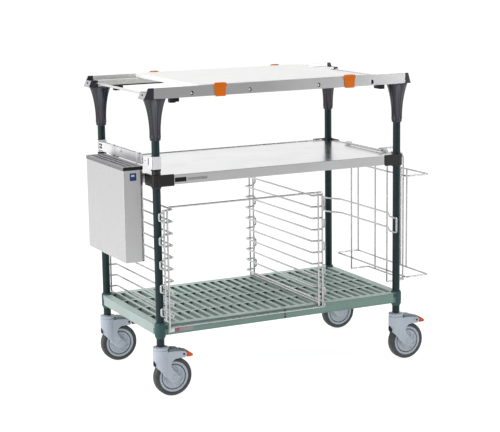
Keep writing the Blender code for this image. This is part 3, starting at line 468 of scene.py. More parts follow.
LOOKS = {
    "post": epoxy("post_epoxy", linear(27, 47, 49), 0.28, 0.38),
    "collar": moulded("collar_plastic", linear(46, 80, 80), 0.38, 0.5),
    # The slate look paints highlights and shade as streaks round the part, set by facing direction.
    "slate": painted_streak_highlights("slate_plastic", ((0.0, linear(24, 24, 31)), (0.22, linear(24, 24, 31)),
                                        (0.36, linear(80, 80, 92)), (0.46, linear(38, 38, 48)),
                                        (0.66, linear(30, 30, 39)), (0.84, linear(54, 54, 64)),
                                        (1.0, linear(22, 22, 29)))),
    "slate_dark": moulded("slate_dark", linear(24, 24, 28), 0.3, 0.42, specular=0.2),
    "rail": brushed("rail_aluminium", (0.48, 0.48, 0.485, 1.0), (9.0, 900.0, 900.0), 0.28, 0.36),
    # The back rail takes a lighter copy of the rail's aluminium: painted light.
    "rail_back": brushed("rail_aluminium_painted_light", (0.74, 0.74, 0.73, 1.0), (9.0, 900.0, 900.0), 0.3, 0.4),
    "bar": brushed("bar_metal", (0.7, 0.7, 0.7, 1.0), (700.0, 12.0, 700.0), 0.26, 0.36),
    "screw": brushed("screw_steel", (0.5, 0.5, 0.51, 1.0), (300.0, 300.0, 40.0), 0.22, 0.34),
    "end_plate": brushed("end_plate", (0.46, 0.46, 0.49, 1.0), (600.0, 600.0, 14.0), 0.28, 0.4),
    "board": moulded("board_plastic", linear(241, 241, 240), 0.36, 0.5, 0.00009, 0.015),
    "clip": moulded("clip_plastic", linear(222, 112, 4), 0.34, 0.46, 0.00003, 0.05, 0.2),
    "steel": brushed("shelf_steel", (0.62, 0.62, 0.625, 1.0), (6.0, 700.0, 700.0), 0.17, 0.24),
    "box": brushed("box_steel", (0.57, 0.57, 0.575, 1.0), (700.0, 700.0, 10.0), 0.24, 0.34),
    "plain": brushed("clamp_steel", (0.84, 0.84, 0.85, 1.0), (300.0, 300.0, 300.0), 0.34, 0.44),
    "pale": moulded("clamp_pale", linear(232, 232, 234), 0.3, 0.4),
    "black": moulded("corner_plastic", linear(26, 24, 26), 0.26, 0.38, specular=0.4),
    "frame": moulded("frame_plastic", linear(96, 122, 114), 0.36, 0.5),
    # The rib colour, darker than the frame's, is painted shade under the mats.
    "rib": moulded("rib_plastic_painted_shade", linear(40, 54, 50), 0.4, 0.55, specular=0.2),
    # The mat look paints its top faces light and its slot walls and sides in shade.
    "mat": painted_facing_light("mat_plastic_painted_light", linear(52, 72, 66), linear(184, 204, 197)),
    "apron": moulded("apron_plastic", linear(118, 146, 137), 0.33, 0.46),
    # The end aprons take a lighter copy of the apron colour: painted light from the left.
    "apron_end": moulded("apron_end_painted_light", linear(156, 170, 166), 0.33, 0.46),
    "insert": moulded("insert_plastic", linear(138, 138, 142), 0.35, 0.5),
    # The trim look paints its top face light and its sides in shade.
    "trim": painted_facing_light("trim_plastic_painted_light", linear(18, 18, 20), linear(150, 150, 154)),
    # The dark look is painted shade in holes, slots, windows and gaps, and also colours dark seams and pin
    # centres.
    "dark": moulded("painted_shade_and_seams", linear(14, 15, 17), 0.5, 0.65, specular=0.15),
    "wire": plated("wire_chrome", (0.57, 0.57, 0.575, 1.0), 0.24, 0.34),
    "lever": moulded("lever_plastic", linear(112, 124, 124), 0.3, 0.42),
    "caster": moulded("caster_plastic", linear(176, 185, 195), 0.34, 0.48),
    "wheel": moulded("wheel_plastic", linear(172, 181, 190), 0.34, 0.48),
    "groove": moulded("groove_shadow", linear(84, 94, 106), 0.5, 0.6),
    "tyre": rubber("tyre_rubber", linear(66, 71, 69)),
    "pedal": moulded("pedal_plastic", linear(214, 80, 24), 0.3, 0.42),
    "pedal_red": moulded("pedal_red_plastic", linear(158, 44, 38), 0.3, 0.42),
    "label": moulded("label_print", linear(40, 60, 112), 0.3, 0.4),
    "label_patch": moulded("label_patch", linear(190, 204, 228), 0.3, 0.4),
    "sticker": moulded("sticker_white", linear(232, 232, 232), 0.35, 0.45),
    "sticker_grey": moulded("sticker_grey", linear(150, 150, 152), 0.35, 0.45),
    "sticker_red": moulded("sticker_red", linear(160, 96, 104), 0.35, 0.45),
}


# ----------------------------------------------------------------------- posts
GROOVE_PITCH = 0.0254
GROOVE_DEPTH = 0.00045
GROOVE_WIDTH = 0.0013
STEM_R = 0.0097


def make_posts():
    """Grooved tubes, open below for the caster stems."""
    bottom, top = POST_LOW.z, POST_HIGH.z
    bore, bore_top = STEM_R + 0.0005, 0.2262
    profile = [(0.0, bore_top), (bore, bore_top), (bore, bottom), (POST_R - 0.0008, bottom),
               (POST_R, bottom + 0.0008)]
    height = bottom + GROOVE_PITCH
    while height < top - GROOVE_PITCH / 2.0:
        for offset, depth in ((-1.0, 0.0), (-0.45, 1.0), (0.45, 1.0), (1.0, 0.0)):
            profile.append((POST_R - depth * GROOVE_DEPTH, height + offset * GROOVE_WIDTH / 2.0))
        height += GROOVE_PITCH
    profile += [(POST_R, top - 0.0015), (POST_R - 0.0015, top), (0.0, top)]
    for tag, sx, sy in CORNERS:
        bm = bmesh.new()
        turned(bm, profile, 56, at_post(sx, sy))
        piece("tube_" + tag, bm, "post", "frame", ["post_" + tag], 60.0)


# -------------------------------------------------------------------- top end
HEAD_R = 0.0352
NECK_R = 0.0184
NECK_Z = 0.832
FLUTES = 8
BRIM_Z = 0.949
LOCK_BLOCKS = ((0.046, 0.018, 0.9375), (0.065, 0.011, 0.94))


def make_brackets():
    """Trumpet-shaped heads with shallow flutes, and a stepped lock block beside each."""
    top = RAIL_LOW.z - 0.0003
    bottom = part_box("rail_bracket_front_left")[0].z

    def flute(radius, height, angle):
        share = max(0.0, min(1.0, (height - NECK_Z) / (BRIM_Z - NECK_Z)))
        depth = 0.075 * math.sin(math.pi * share) ** 0.7
        return 1.0 - depth * (0.5 + 0.5 * math.cos(FLUTES * (angle + math.pi / 2.0) + math.pi))

    profile = [(0.0, top), (HEAD_R - 0.001, top), (HEAD_R, top - 0.001)]
    for step in range(25):
        share = 1.0 - step / 24.0
        profile.append((NECK_R + (HEAD_R - NECK_R) * share ** 2.3, NECK_Z + (BRIM_Z - NECK_Z) * share))
    inner = POST_R + 0.0004
    profile += [(NECK_R, bottom + 0.009), (NECK_R - 0.0012, bottom + 0.008),
                (NECK_R - 0.0014, bottom + 0.001), (NECK_R - 0.0024, bottom), (inner, bottom),
                (inner, POST_HIGH.z + 0.0003), (0.0, POST_HIGH.z + 0.0003)]
    for tag, sx, sy in CORNERS:
        x, y = sx * POST_X, sy * POST_Y
        bm = bmesh.new()
        turned(bm, profile, 96, at_post(sx, sy), flute)
        # The heads take the slate look, with streaked painted highlights.
        piece("head_" + tag, bm, "slate", "frame", ["rail_bracket_" + tag], 40.0)
        bm = bmesh.new()
        shift = 0.0 if sx < 0.0 else 0.013
        near, far = sorted((x - sx * (0.043 + shift), x - sx * (0.078 + shift)))
        block(bm, (near, y - 0.01, 0.9498), (far, y + 0.012, top - 0.0004), 0.0006)
        for start, length, drop in LOCK_BLOCKS:
            near, far = sorted((x - sx * (start + shift), x - sx * (start + shift + length)))
            block(bm, (near, y - 0.019, drop), (far, y + 0.002, top - 0.0004), 0.0012)
        piece("lock_" + tag, bm, "slate_dark", "frame")


RAIL_WALL = 0.004
LEDGE_Z = 0.974


def rail_section(sy, grow=0.0, hollow=True):
    """The rail's section, across the trolley and up, with rounded corners."""
    inner, outer, bottom = RAIL_LOW.y - grow, RAIL_HIGH.y + grow, RAIL_LOW.z
    wall, ledge, top = RAIL_WALL, LEDGE_Z + grow, RAIL_HIGH.z + grow
    points = [(inner, bottom), (inner, ledge)]
    if hollow:
        for groove in (0.0105, 0.0185, 0.0345):
            points += [(inner + groove - 0.0009, ledge), (inner + groove - 0.0004, ledge - 0.001),
                       (inner + groove + 0.0004, ledge - 0.001), (inner + groove + 0.0009, ledge)]
    points += [(outer - wall, ledge), (outer - wall, top), (outer, top), (outer, bottom)]
    if hollow:
        points += [(outer - wall, bottom), (outer - wall, ledge - wall), (inner + wall, ledge - wall),
                   (inner + wall, bottom)]
    return rounded([(sy * u, v) for u, v in points], 0.0009, 3)


RAIL_HOLES = (-0.325, -0.124, 0.124)
KEYHOLE_X = 0.325
HOLE_Z = 0.9655


def make_rails():
    """Extruded channels; screw holes and a keyhole go through the outer wall."""
    half = RAIL_HIGH.x
    circle = [math.tau * step / 28.0 for step in range(28)]
    for side, sy in SIDES:
        bm = bmesh.new()
        plate(bm, rail_section(sy), -half, half, 0.0003, place=ALONG_X)
        rail = to_mesh(bm, "rail")
        bm = bmesh.new()
        near, far = sided(sy, RAIL_HIGH.y - 0.006, RAIL_HIGH.y + 0.01)
        for x in RAIL_HOLES:
            hole = [(x + 0.0056 * math.cos(a), HOLE_Z + 0.0066 * math.sin(a)) for a in circle]
            plate(bm, hole, near, far, 0.0, place=INTO_WALL)
        keyhole = rounded(rectangle(KEYHOLE_X - 0.0045, 0.9575, KEYHOLE_X + 0.0045, 0.9715), 0.0044, 5)
        plate(bm, keyhole, near, far, 0.0, place=INTO_WALL)
        rail = drilled(rail, to_mesh(bm, "slots"))
        # The back rail takes the lighter rail look: painted light.
        look = "rail" if sy < 0.0 else "rail_back"
        piece("rail_" + side, rail, look, "frame", ["top_rail_" + side])
        wall = RAIL_HIGH.y - 0.0042
        bm = bmesh.new()
        outward = Matrix.Rotation(-sy * math.pi / 2.0, 4, "X")
        for x in RAIL_HOLES:
            screw_head(bm, 0.005, moved(x - 0.0008, sy * (wall + 0.0004), 0.9648) @ outward)
        piece("rail_screws_" + side, bm, "plain", "frame")
        inside = sided(sy, wall - 0.0012, wall + 0.0002)
        # Dark blocks behind the holes and the keyhole: painted shade inside the rail.
        blocks("rail_backs_" + side, "dark", [
            ((x - 0.008, x + 0.008), inside, (0.956, 0.973), 0.0004) for x in (*RAIL_HOLES, KEYHOLE_X)])
        # A dark strip along the rail's inner bottom edge: a painted shadow.
        inside = sided(sy, RAIL_LOW.y - 0.0008, RAIL_LOW.y + 0.0006)
        reach, bottom = half - 0.045, RAIL_LOW.z
        blocks("rail_painted_shadow_" + side, "dark", [
            ((-reach, reach), inside, (bottom + 0.0006, bottom + 0.0044), 0.0004)])


def rake(mesh, start, sx, top_x, bottom_x):
    """Slant the outer end of an extrusion from its top to its bottom."""
    low, high = RAIL_LOW.z, RAIL_HIGH.z
    length = top_x - start
    for vert in mesh.vertices:
        share = (vert.co.x - start) / length
        outward = (bottom_x - top_x) * (high - vert.co.z) / (high - low)
        vert.co.x = sx * (vert.co.x + outward * share)


def screw_head(bm, radius, place):
    """A domed screw head with a ring groove."""
    turned(bm, [(0.0, 0.55 * radius), (0.45 * radius, 0.5 * radius), (0.5 * radius, 0.3 * radius),
                (0.62 * radius, 0.3 * radius), (0.68 * radius, 0.42 * radius), (radius, 0.12 * radius),
                (radius, -0.4 * radius), (0.0, -0.4 * radius)], 20, place)


def make_end_caps():
    """Dark wraps on the rails' ends, each closed by a light raked plate with a screw."""
    start = RAIL_HIGH.x + 0.0003
    for tag, sx, sy in CORNERS:
        top_x, bottom_x = (0.47, 0.485) if sx < 0.0 else (0.464, 0.474)
        slant = math.atan2(bottom_x - top_x, RAIL_HIGH.z - RAIL_LOW.z)
        bm = bmesh.new()
        plate(bm, rail_section(sy, 0.0006, False), start, top_x, 0.0008, place=ALONG_X)
        wrap = to_mesh(bm, "wrap")
        rake(wrap, start, sx, top_x, bottom_x)
        # The wraps take the slate look, with streaked painted highlights.
        piece("cap_" + tag, wrap, "slate", "frame", ["rail_cap_" + tag])
        bm = bmesh.new()
        inner, outer, wall = RAIL_LOW.y + 0.0012, RAIL_HIGH.y - 0.0012, RAIL_WALL
        low, ledge, high = RAIL_LOW.z + 0.0012, LEDGE_Z - 0.0008, RAIL_HIGH.z - 0.0012
        face = rounded([(sy * u, v) for u, v in (
            (inner, low), (inner, ledge), (outer - wall, ledge), (outer - wall, high),
            (outer, high), (outer, low))], 0.0012, 3)
        plate(bm, face, top_x - 0.0006, top_x + 0.001, 0.0004, place=ALONG_X)
        cover = to_mesh(bm, "cover")
        for vert in cover.vertices:
            outward = (bottom_x - top_x) * (RAIL_HIGH.z - vert.co.z) / (RAIL_HIGH.z - RAIL_LOW.z)
            vert.co.x = sx * (vert.co.x + outward)
        piece("cap_plate_" + tag, cover, "end_plate", "frame")
        bm = bmesh.new()
        height = 0.966
        reach = top_x + (bottom_x - top_x) * (RAIL_HIGH.z - height) / (RAIL_HIGH.z - RAIL_LOW.z) + 0.001
        lean = Matrix.Rotation(sx * (math.pi / 2.0 - slant), 4, "Y")
        screw_head(bm, 0.0034, moved(sx * reach, sy * 0.2385, height) @ lean)
        piece("cap_screw_" + tag, bm, "slate_dark", "frame")


def make_cross_bars():
    """Flat bars between the rails, with a screw at each end."""
    for end, _ in ENDS:
        low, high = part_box("rail_cross_bar_" + end)
        centre = (low + high) / 2.0
        bar = ((centre.x - 0.0075, centre.x + 0.0075), (low.y, high.y), (high.z - 0.005, high.z), 0.0014)
        blocks("cross_bar_" + end, "bar", [bar], nodes=["rail_cross_bar_" + end])
        bm = bmesh.new()
        for sy in (-1.0, 1.0):
            screw_head(bm, 0.004, moved(centre.x, sy * (high.y - 0.012), high.z))
        piece("cross_bar_screws_" + end, bm, "screw", "frame")


def make_board():
    """The white cutting board and the four clips snapped over its edges."""
    bm = bmesh.new()
    outline = rounded(rectangle(BOARD_LOW.x, BOARD_LOW.y, BOARD_HIGH.x, BOARD_HIGH.y), 0.005)
    plate(bm, outline, BOARD_LOW.z, BOARD_HIGH.z, 0.0022)
    piece("board", bm, "board", "board", ["cutting_board"])
    for end, _ in ENDS:
        for side, sy in SIDES:
            make_clip(side + "_" + end, sy)


def make_clip(tag, sy):
    """A hook of moulded plastic: a leg over the rail, an arm on the board and two ears at the bend."""
    node = "board_clip_" + tag
    low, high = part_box(node)
    width, thick = high.x - low.x, 0.0032
    outer = max(abs(low.y), abs(high.y))
    inner = outer - 0.017
    points = [(outer - thick, low.z), (outer - thick, high.z - thick), (inner, high.z - thick),
              (inner, high.z), (outer, high.z), (outer, low.z)]
    bm = bmesh.new()
    outline = rounded([(sy * u, v) for u, v in points], 0.0013, 4)
    plate(bm, outline, -width / 2.0, width / 2.0, 0.0007, place=ALONG_X)
    clip = modified(to_mesh(bm, "clip"), "WELD", merge_threshold=0.00001)
    for vert in clip.vertices:
        share = max(0.0, min(1.0, (high.z - 0.01 - vert.co.z) / (high.z - 0.01 - low.z)))
        vert.co.x *= 1.0 - 0.11 * share
        onto = max(0.0, min(1.0, (outer - thick - abs(vert.co.y)) / 0.006))
        vert.co.x *= 1.0 - 0.3 * onto
        if sy > 0.0 and vert.co.z > high.z - thick - 0.0005:
            vert.co.x *= 0.66
    centre = moved((low.x + high.x) / 2.0, 0.0, 0.0)
    piece("clip_" + tag, clip, "clip", "board", [node], place=centre)
    face, back = sided(sy, outer - 0.0004, outer + 0.0008), sided(sy, outer - 0.004, outer - 0.0004)
    boxes = [((-0.0125, 0.0125), face, (low.z + 0.0075, high.z - 0.011), 0.0005)]
    for sx in (-1.0, 1.0):
        ear = sided(sx, width / 2.0 - 0.0015, width / 2.0 + 0.0034)
        boxes.append((ear, back, (high.z - 0.0125, high.z - 0.0036), 0.0012))
    blocks("clip_pad_" + tag, "clip", boxes, "board", place=centre)


# ---------------------------------------------------------------- middle shelf
def make_middle_shelf():
    """A folded steel pan: a skirt, a narrow raised rim and a dished floor."""
    x, y = SHELF_HIGH.x, SHELF_HIGH.y
    rim, dish, sheet, corner = 0.0085, 0.0025, 0.002, 0.013

    bm = bmesh.new()
    hole = rounded(rectangle(-x + sheet, -y + sheet, x - sheet, y - sheet), corner - sheet)
    plate(bm, rounded(rectangle(-x, -y, x, y), corner), SHELF_LOW.z, SHELF_HIGH.z - 0.0004, 0.0009, [hole])
    inner = rounded(rectangle(-x + rim, -y + rim, x - rim, y - rim), 0.005)
    plate(bm, rounded(rectangle(-x + 0.0002, -y + 0.0002, x - 0.0002, y - 0.0002), corner),
          SHELF_HIGH.z - 0.0032, SHELF_HIGH.z, 0.0012, [inner])
    plate(bm, rounded(rectangle(-x + 0.004, -y + 0.004, x - 0.004, y - 0.004), corner),
          SHELF_HIGH.z - dish - sheet, SHELF_HIGH.z - dish, 0.0004)
    piece("shelf_pan", bm, "steel", "frame", ["middle_shelf"])
    for name, look, start, end, inset in (("dark", "slate_dark", -0.381, -0.342, 0.002),
                                          ("light", "sticker_grey", -0.338, -0.27, 0.005)):
        corners = (start, 0.687 + inset, end, 0.705 - inset)
        depths = (0.0, 0.0004)
        sticker("shelf_sticker_" + name, look, "frame", corners, 0.001, -y, depths, 0.0001)


def make_shelf_corners():
    """Black sleeves round the posts; two arms wrap the shelf's corner from each."""
    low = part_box("shelf_corner_front_left")[0]
    inner_x, inner_y = SHELF_HIGH.x + 0.0003, SHELF_HIGH.y + 0.0003
    outer_x, outer_y = SHELF_HIGH.x + 0.0033, SHELF_HIGH.y + 0.0033
    arm_x, arm_y = 0.3845, 0.18
    bottom, top = 0.678, 0.715
    sleeve = 0.0168
    bore = POST_R + 0.0004
    neck, ring, brim = 0.014, 0.0156, 0.7325
    profile = [(bore, brim), (ring - 0.001, brim), (ring, brim - 0.001), (ring, brim - 0.0046),
               (neck, brim - 0.006), (neck, top + 0.001), (sleeve - 0.0004, top - 0.0004),
               (sleeve, bottom - 0.0006), (sleeve - 0.0006, bottom - 0.0012),
               (sleeve - 0.0024, low.z), (bore, low.z), (bore, brim)]
    cap = [(bore, top + 0.0016), (sleeve - 0.0016, top + 0.0016), (sleeve - 0.0004, top + 0.0004)]
    short = cap + profile[7:-1] + cap[:1]
    angles = [math.radians(90.0 * step / 10.0) for step in range(11)]
    radius = outer_x - POST_X
    bend_round = [(POST_X + radius * math.sin(a), outer_y - radius + radius * math.cos(a)) for a in angles]

    def wrap(inset):
        """The plan of both arms, their inner faces set back from the shelf's by an inset."""
        return [(arm_x, inner_y - inset), (arm_x, outer_y), *bend_round, (outer_x, arm_y),
                (inner_x - inset, arm_y), (inner_x - inset, inner_y - inset)]

    for tag, sx, sy in CORNERS:
        bm = bmesh.new()
        turned(bm, profile if sx < 0.0 else short, 48, at_post(sx, sy))
        plate(bm, [(sx * u, sy * v) for u, v in wrap(0.0)], bottom, top, 0.0012)
        lip = [(sx * u, sy * v) for u, v in wrap(0.004)]
        plate(bm, lip, SHELF_HIGH.z + 0.0001, top, 0.0009)
        piece("shelf_sleeve_" + tag, bm, "black", "frame", ["shelf_corner_" + tag])


# ----------------------------------------------------------------- lower shelf
def post_bores():
    """Four cylinders that cut the way for the posts and the caster stems through the lower shelf."""
    bore = POST_R + 0.0003
    bm = bmesh.new()
    for _, sx, sy in CORNERS:
        turned(bm, [(0.0, 0.15), (bore, 0.15), (bore, 0.27), (0.0, 0.27)], 48,
               at_post(sx, sy))
    return to_mesh(bm, "post_bores")


def make_lower_shelf():
    """A frame with a middle beam, under two slotted mats whose aprons hang over its faces."""
    x, y = FRAME_HIGH.x, FRAME_HIGH.y
    bottom, top, seat = FRAME_LOW.z, FRAME_HIGH.z, 0.222
    rim, ledge = 0.022, 0.012
    corner = x - POST_X
    seat_x, seat_y = x - rim, y - rim
    hole_x, hole_y = seat_x - ledge, seat_y - ledge
    bm = bmesh.new()
    body = rounded(rectangle(-x + 0.0014, -y + 0.0014, x - 0.0014, y - 0.0014), corner)
    holes = [rounded(rectangle(ledge, -hole_y, hole_x, hole_y), 0.006),
             rounded(rectangle(-hole_x, -hole_y, -ledge, hole_y), 0.006)]
    plate(bm, body, bottom, seat, 0.0012, holes)
    floor = drilled(to_mesh(bm, "floor"), post_bores())
    bm = bmesh.new()
    plate(bm, body, seat - 0.001, top - 0.0012, 0.001,
          [rounded(rectangle(-seat_x, -seat_y, seat_x, seat_y), 0.005)])
    edge = drilled(to_mesh(bm, "edge"), post_bores())
    bm = bmesh.new()
    merge(bm, floor)
    merge(bm, edge)
    piece("shelf_frame", bm, "frame", "frame", ["lower_shelf_frame"])
    for end, sx in ENDS:
        make_mat(end, sx, x, y, corner)
    for name, look, start, end in (("white", "sticker", -0.416, -0.396),
                                   ("red", "sticker_red", -0.3955, -0.38),
                                   ("grey", "sticker_grey", -0.3795, -0.33)):
        corners = (start, 0.211, end, 0.223)
        depths = (0.0, 0.0007)
        sticker("frame_sticker_" + name, look, "frame", corners, 0.0012, -y - 0.0006, depths)


def make_mat(end, sx, x, y, corner):
    """One slotted mat: ribbed top, a curled border and an apron down the frame's faces."""
    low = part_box("shelf_mat_" + end)[0]
    bottom, top = FRAME_LOW.z, FRAME_HIGH.z
    near, slots_x, slots_y = 0.0006, 14, 4
    seat_x, seat_y = x - 0.0223, y - 0.0223
    pitch_x, pitch_y = (seat_x - 0.001) / slots_x, 2.0 * seat_y / slots_y
    half_x, half_y = 0.009, (pitch_y - 0.012) / 2.0
    holes = []
    for column in range(slots_x):
        for row in range(slots_y):
            cx = sx * (0.001 + pitch_x * (column + 0.5))
            cy = -seat_y + pitch_y * (row + 0.5)
            holes.append(rounded(rectangle(cx - half_x, cy - half_y, cx + half_x, cy + half_y), 0.003, 3))
    far_corner = corner + 0.001
    angles = [math.radians(90.0 * step / 8.0) for step in range(9)]
    reach_x, reach_y = x - 0.0002 - far_corner, y - 0.0002 - far_corner
    outline = [(near, -y + 0.0002)]
    outline += [(reach_x + far_corner * math.sin(a), -reach_y - far_corner * math.cos(a)) for a in angles]
    outline += [(reach_x + far_corner * math.cos(a), reach_y + far_corner * math.sin(a)) for a in angles]
    outline += [(near, y - 0.0002)]
    outline = [(sx * u, v) for u, v in outline]
    bm = bmesh.new()
    plate(bm, outline, low.z, top, 0.0012, holes)
    mat = drilled(to_mesh(bm, "mat"), post_bores())
    # The mat's look paints its top faces light and its slot walls in shade.
    piece("mat_" + end, mat, "mat", "frame", ["shelf_mat_" + end])
    # Ribs under the mat between slot rows, coloured dark as painted shade.
    ribs = sided(sx, near, seat_x - 0.001)
    rows = [-seat_y + pitch_y * row for row in range(1, slots_y)]
    blocks("mat_ribs_" + end, "rib", [
        (ribs, (cy - 0.0022, cy + 0.0022), (low.z - 0.0075, low.z + 0.0006), 0.0006) for cy in rows])
    boxes = []
    edge, height = sided(sx, near, POST_X - 0.02), (bottom + 0.0004, top + 0.0001)
    for sy in (-1.0, 1.0):
        boxes.append((edge, sided(sy, y - 0.0014, y + 0.0004), height, 0.0008))
        bead = (edge[0] + 0.0004, edge[1] - 0.0004), sided(sy, y - 0.0002, y + 0.001)
        boxes += [(*bead, (top - 0.0046, top - 0.0002), 0.0005),
                  (*bead, (bottom + 0.0006, bottom + 0.0034), 0.0005)]
    blocks("apron_" + end, "apron", boxes)
    # The end aprons take a lighter copy of the apron colour: painted light.
    face, lip = sided(sx, x - 0.0014, x + 0.0004), sided(sx, x - 0.0002, x + 0.001)
    blocks("apron_end_" + end, "apron_end", [
        (face, (-POST_Y + 0.015, POST_Y - 0.015), height, 0.0008),
        (lip, (-POST_Y + 0.0154, POST_Y - 0.0154), (top - 0.0046, top - 0.0002), 0.0005)])
    blocks("mat_latch_" + end, "black", [
        (sided(sx, 0.0008, 0.0042), sided(sy, y + 0.0002, y + 0.0012), (start, start + 0.0035), 0.0004)
        for sy in (-1.0, 1.0) for start in (bottom + 0.003, top - 0.0075)])
    blocks("mat_seam_" + end, "black", [
        (sided(sx, 0.0001, 0.0016), sided(sy, y - 0.001, y + 0.0008), (bottom + 0.003, top - 0.002), 0.0003)
        for sy in (-1.0, 1.0)])


def make_collars():
    """Two-part tapered collars at the lower shelf."""
    low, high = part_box("post_collar_front_left")
    radius = (high.x - low.x) / 2.0
    bore = POST_R + 0.0004
    profile = [
        (bore, high.z), (radius - 0.0034, high.z), (radius - 0.0022, high.z - 0.0014),
        (radius - 0.0002, high.z - 0.0056), (radius, high.z - 0.007), (radius, low.z + 0.015),
        (radius - 0.0006, low.z + 0.014), (radius - 0.0006, low.z + 0.0126), (radius, low.z + 0.0116),
        (radius - 0.0004, low.z + 0.008), (radius - 0.0036, low.z + 0.0008), (radius - 0.0044, low.z),
        (bore, low.z), (bore, high.z)]
    for tag, sx, sy in CORNERS:
        bm = bmesh.new()
        turned(bm, profile, 48, at_post(sx, sy))
        piece("collar_" + tag, bm, "collar", "frame", ["post_collar_" + tag], 50.0)


# ------------------------------------------------------------------- knife box
def make_hanger():
    """A folded bar behind the knife box, on the arms of two clamps round the left posts."""
    bar_y = (-0.17, 0.17)
    web = ((HANGER_LOW.x, HANGER_HIGH.x), bar_y, (HANGER_LOW.z, HANGER_HIGH.z), 0.0006)
    flange = ((HANGER_LOW.x, HANGER_HIGH.x + 0.0085), bar_y, (HANGER_HIGH.z - 0.0018, HANGER_HIGH.z), 0.0006)
    blocks("hanger_bar", "plain", [web, flange], nodes=["knife_box_hanger"])
    bm = bmesh.new()
    side_on = Matrix.Rotation(-math.pi / 2.0, 4, "Y")
    screw_head(bm, 0.005, moved(HANGER_LOW.x, 0.0, HANGER_LOW.z + 0.024) @ side_on)
    for sy in (-1.0, 1.0):
        screw_head(bm, 0.003, moved(HANGER_HIGH.x + 0.0002, sy * 0.196, 0.758) @ side_on)
    piece("hanger_screws", bm, "screw", "frame")
    for side, sy in SIDES:
        make_clamp(side, sy, HANGER_HIGH.x + 0.0003, 0.734, 0.7735)


def make_clamp(side, sy, plane, low, high):
    """A clamp open towards the shelf, with a flat arm that laps behind the bar."""
    y, bore = sy * POST_Y, POST_R + 0.0004
    half, end = 0.0165, -POST_X + 0.011
    gape = math.acos((end + POST_X) / bore)
    outline = [(plane, y - half), (end, y - half)]
    outline += [(-POST_X + bore * math.cos(a), y + bore * math.sin(a))
                for a in [-gape - (math.tau - 2.0 * gape) * k / 32.0 for k in range(33)]]
    outline += [(end, y + half), (plane, y + half)]
    bm = bmesh.new()
    plate(bm, outline, low, high, 0.001)
    near, far = sorted((sy * 0.16, y - sy * 0.012))
    block(bm, (plane, near, 0.744), (plane + 0.003, far, 0.769), 0.0006)
    piece("clamp_" + side, bm, "pale", "frame", ["hanger_clamp_" + side])
    face = y - half
    seam = plane + 0.0004
    boxes = [((seam, plane + 0.0014), (face - 0.0002, face + 0.001), (low + 0.0006, high - 0.0006), 0.0002)]
    for start, stop, foot, head in ((0.1715, 0.1728, 0.7445, 0.7685), (0.215, 0.2166, 0.7455, 0.7675)):
        boxes.append(((plane - 0.0006, seam), sided(sy, start, stop), (foot, head), 0.0002))
    # On the back clamp, dark window patches are painted shade; the other strips are dark seam lines.
    if sy > 0.0:
        boxes += [((plane - 0.0005, plane + 0.0005), (start, start + 0.0105), (row, row + 0.0078), 0.0003)
                  for start in (0.183, 0.196) for row in (0.748, 0.758)]
    blocks("clamp_seams_" + side, "dark", boxes)


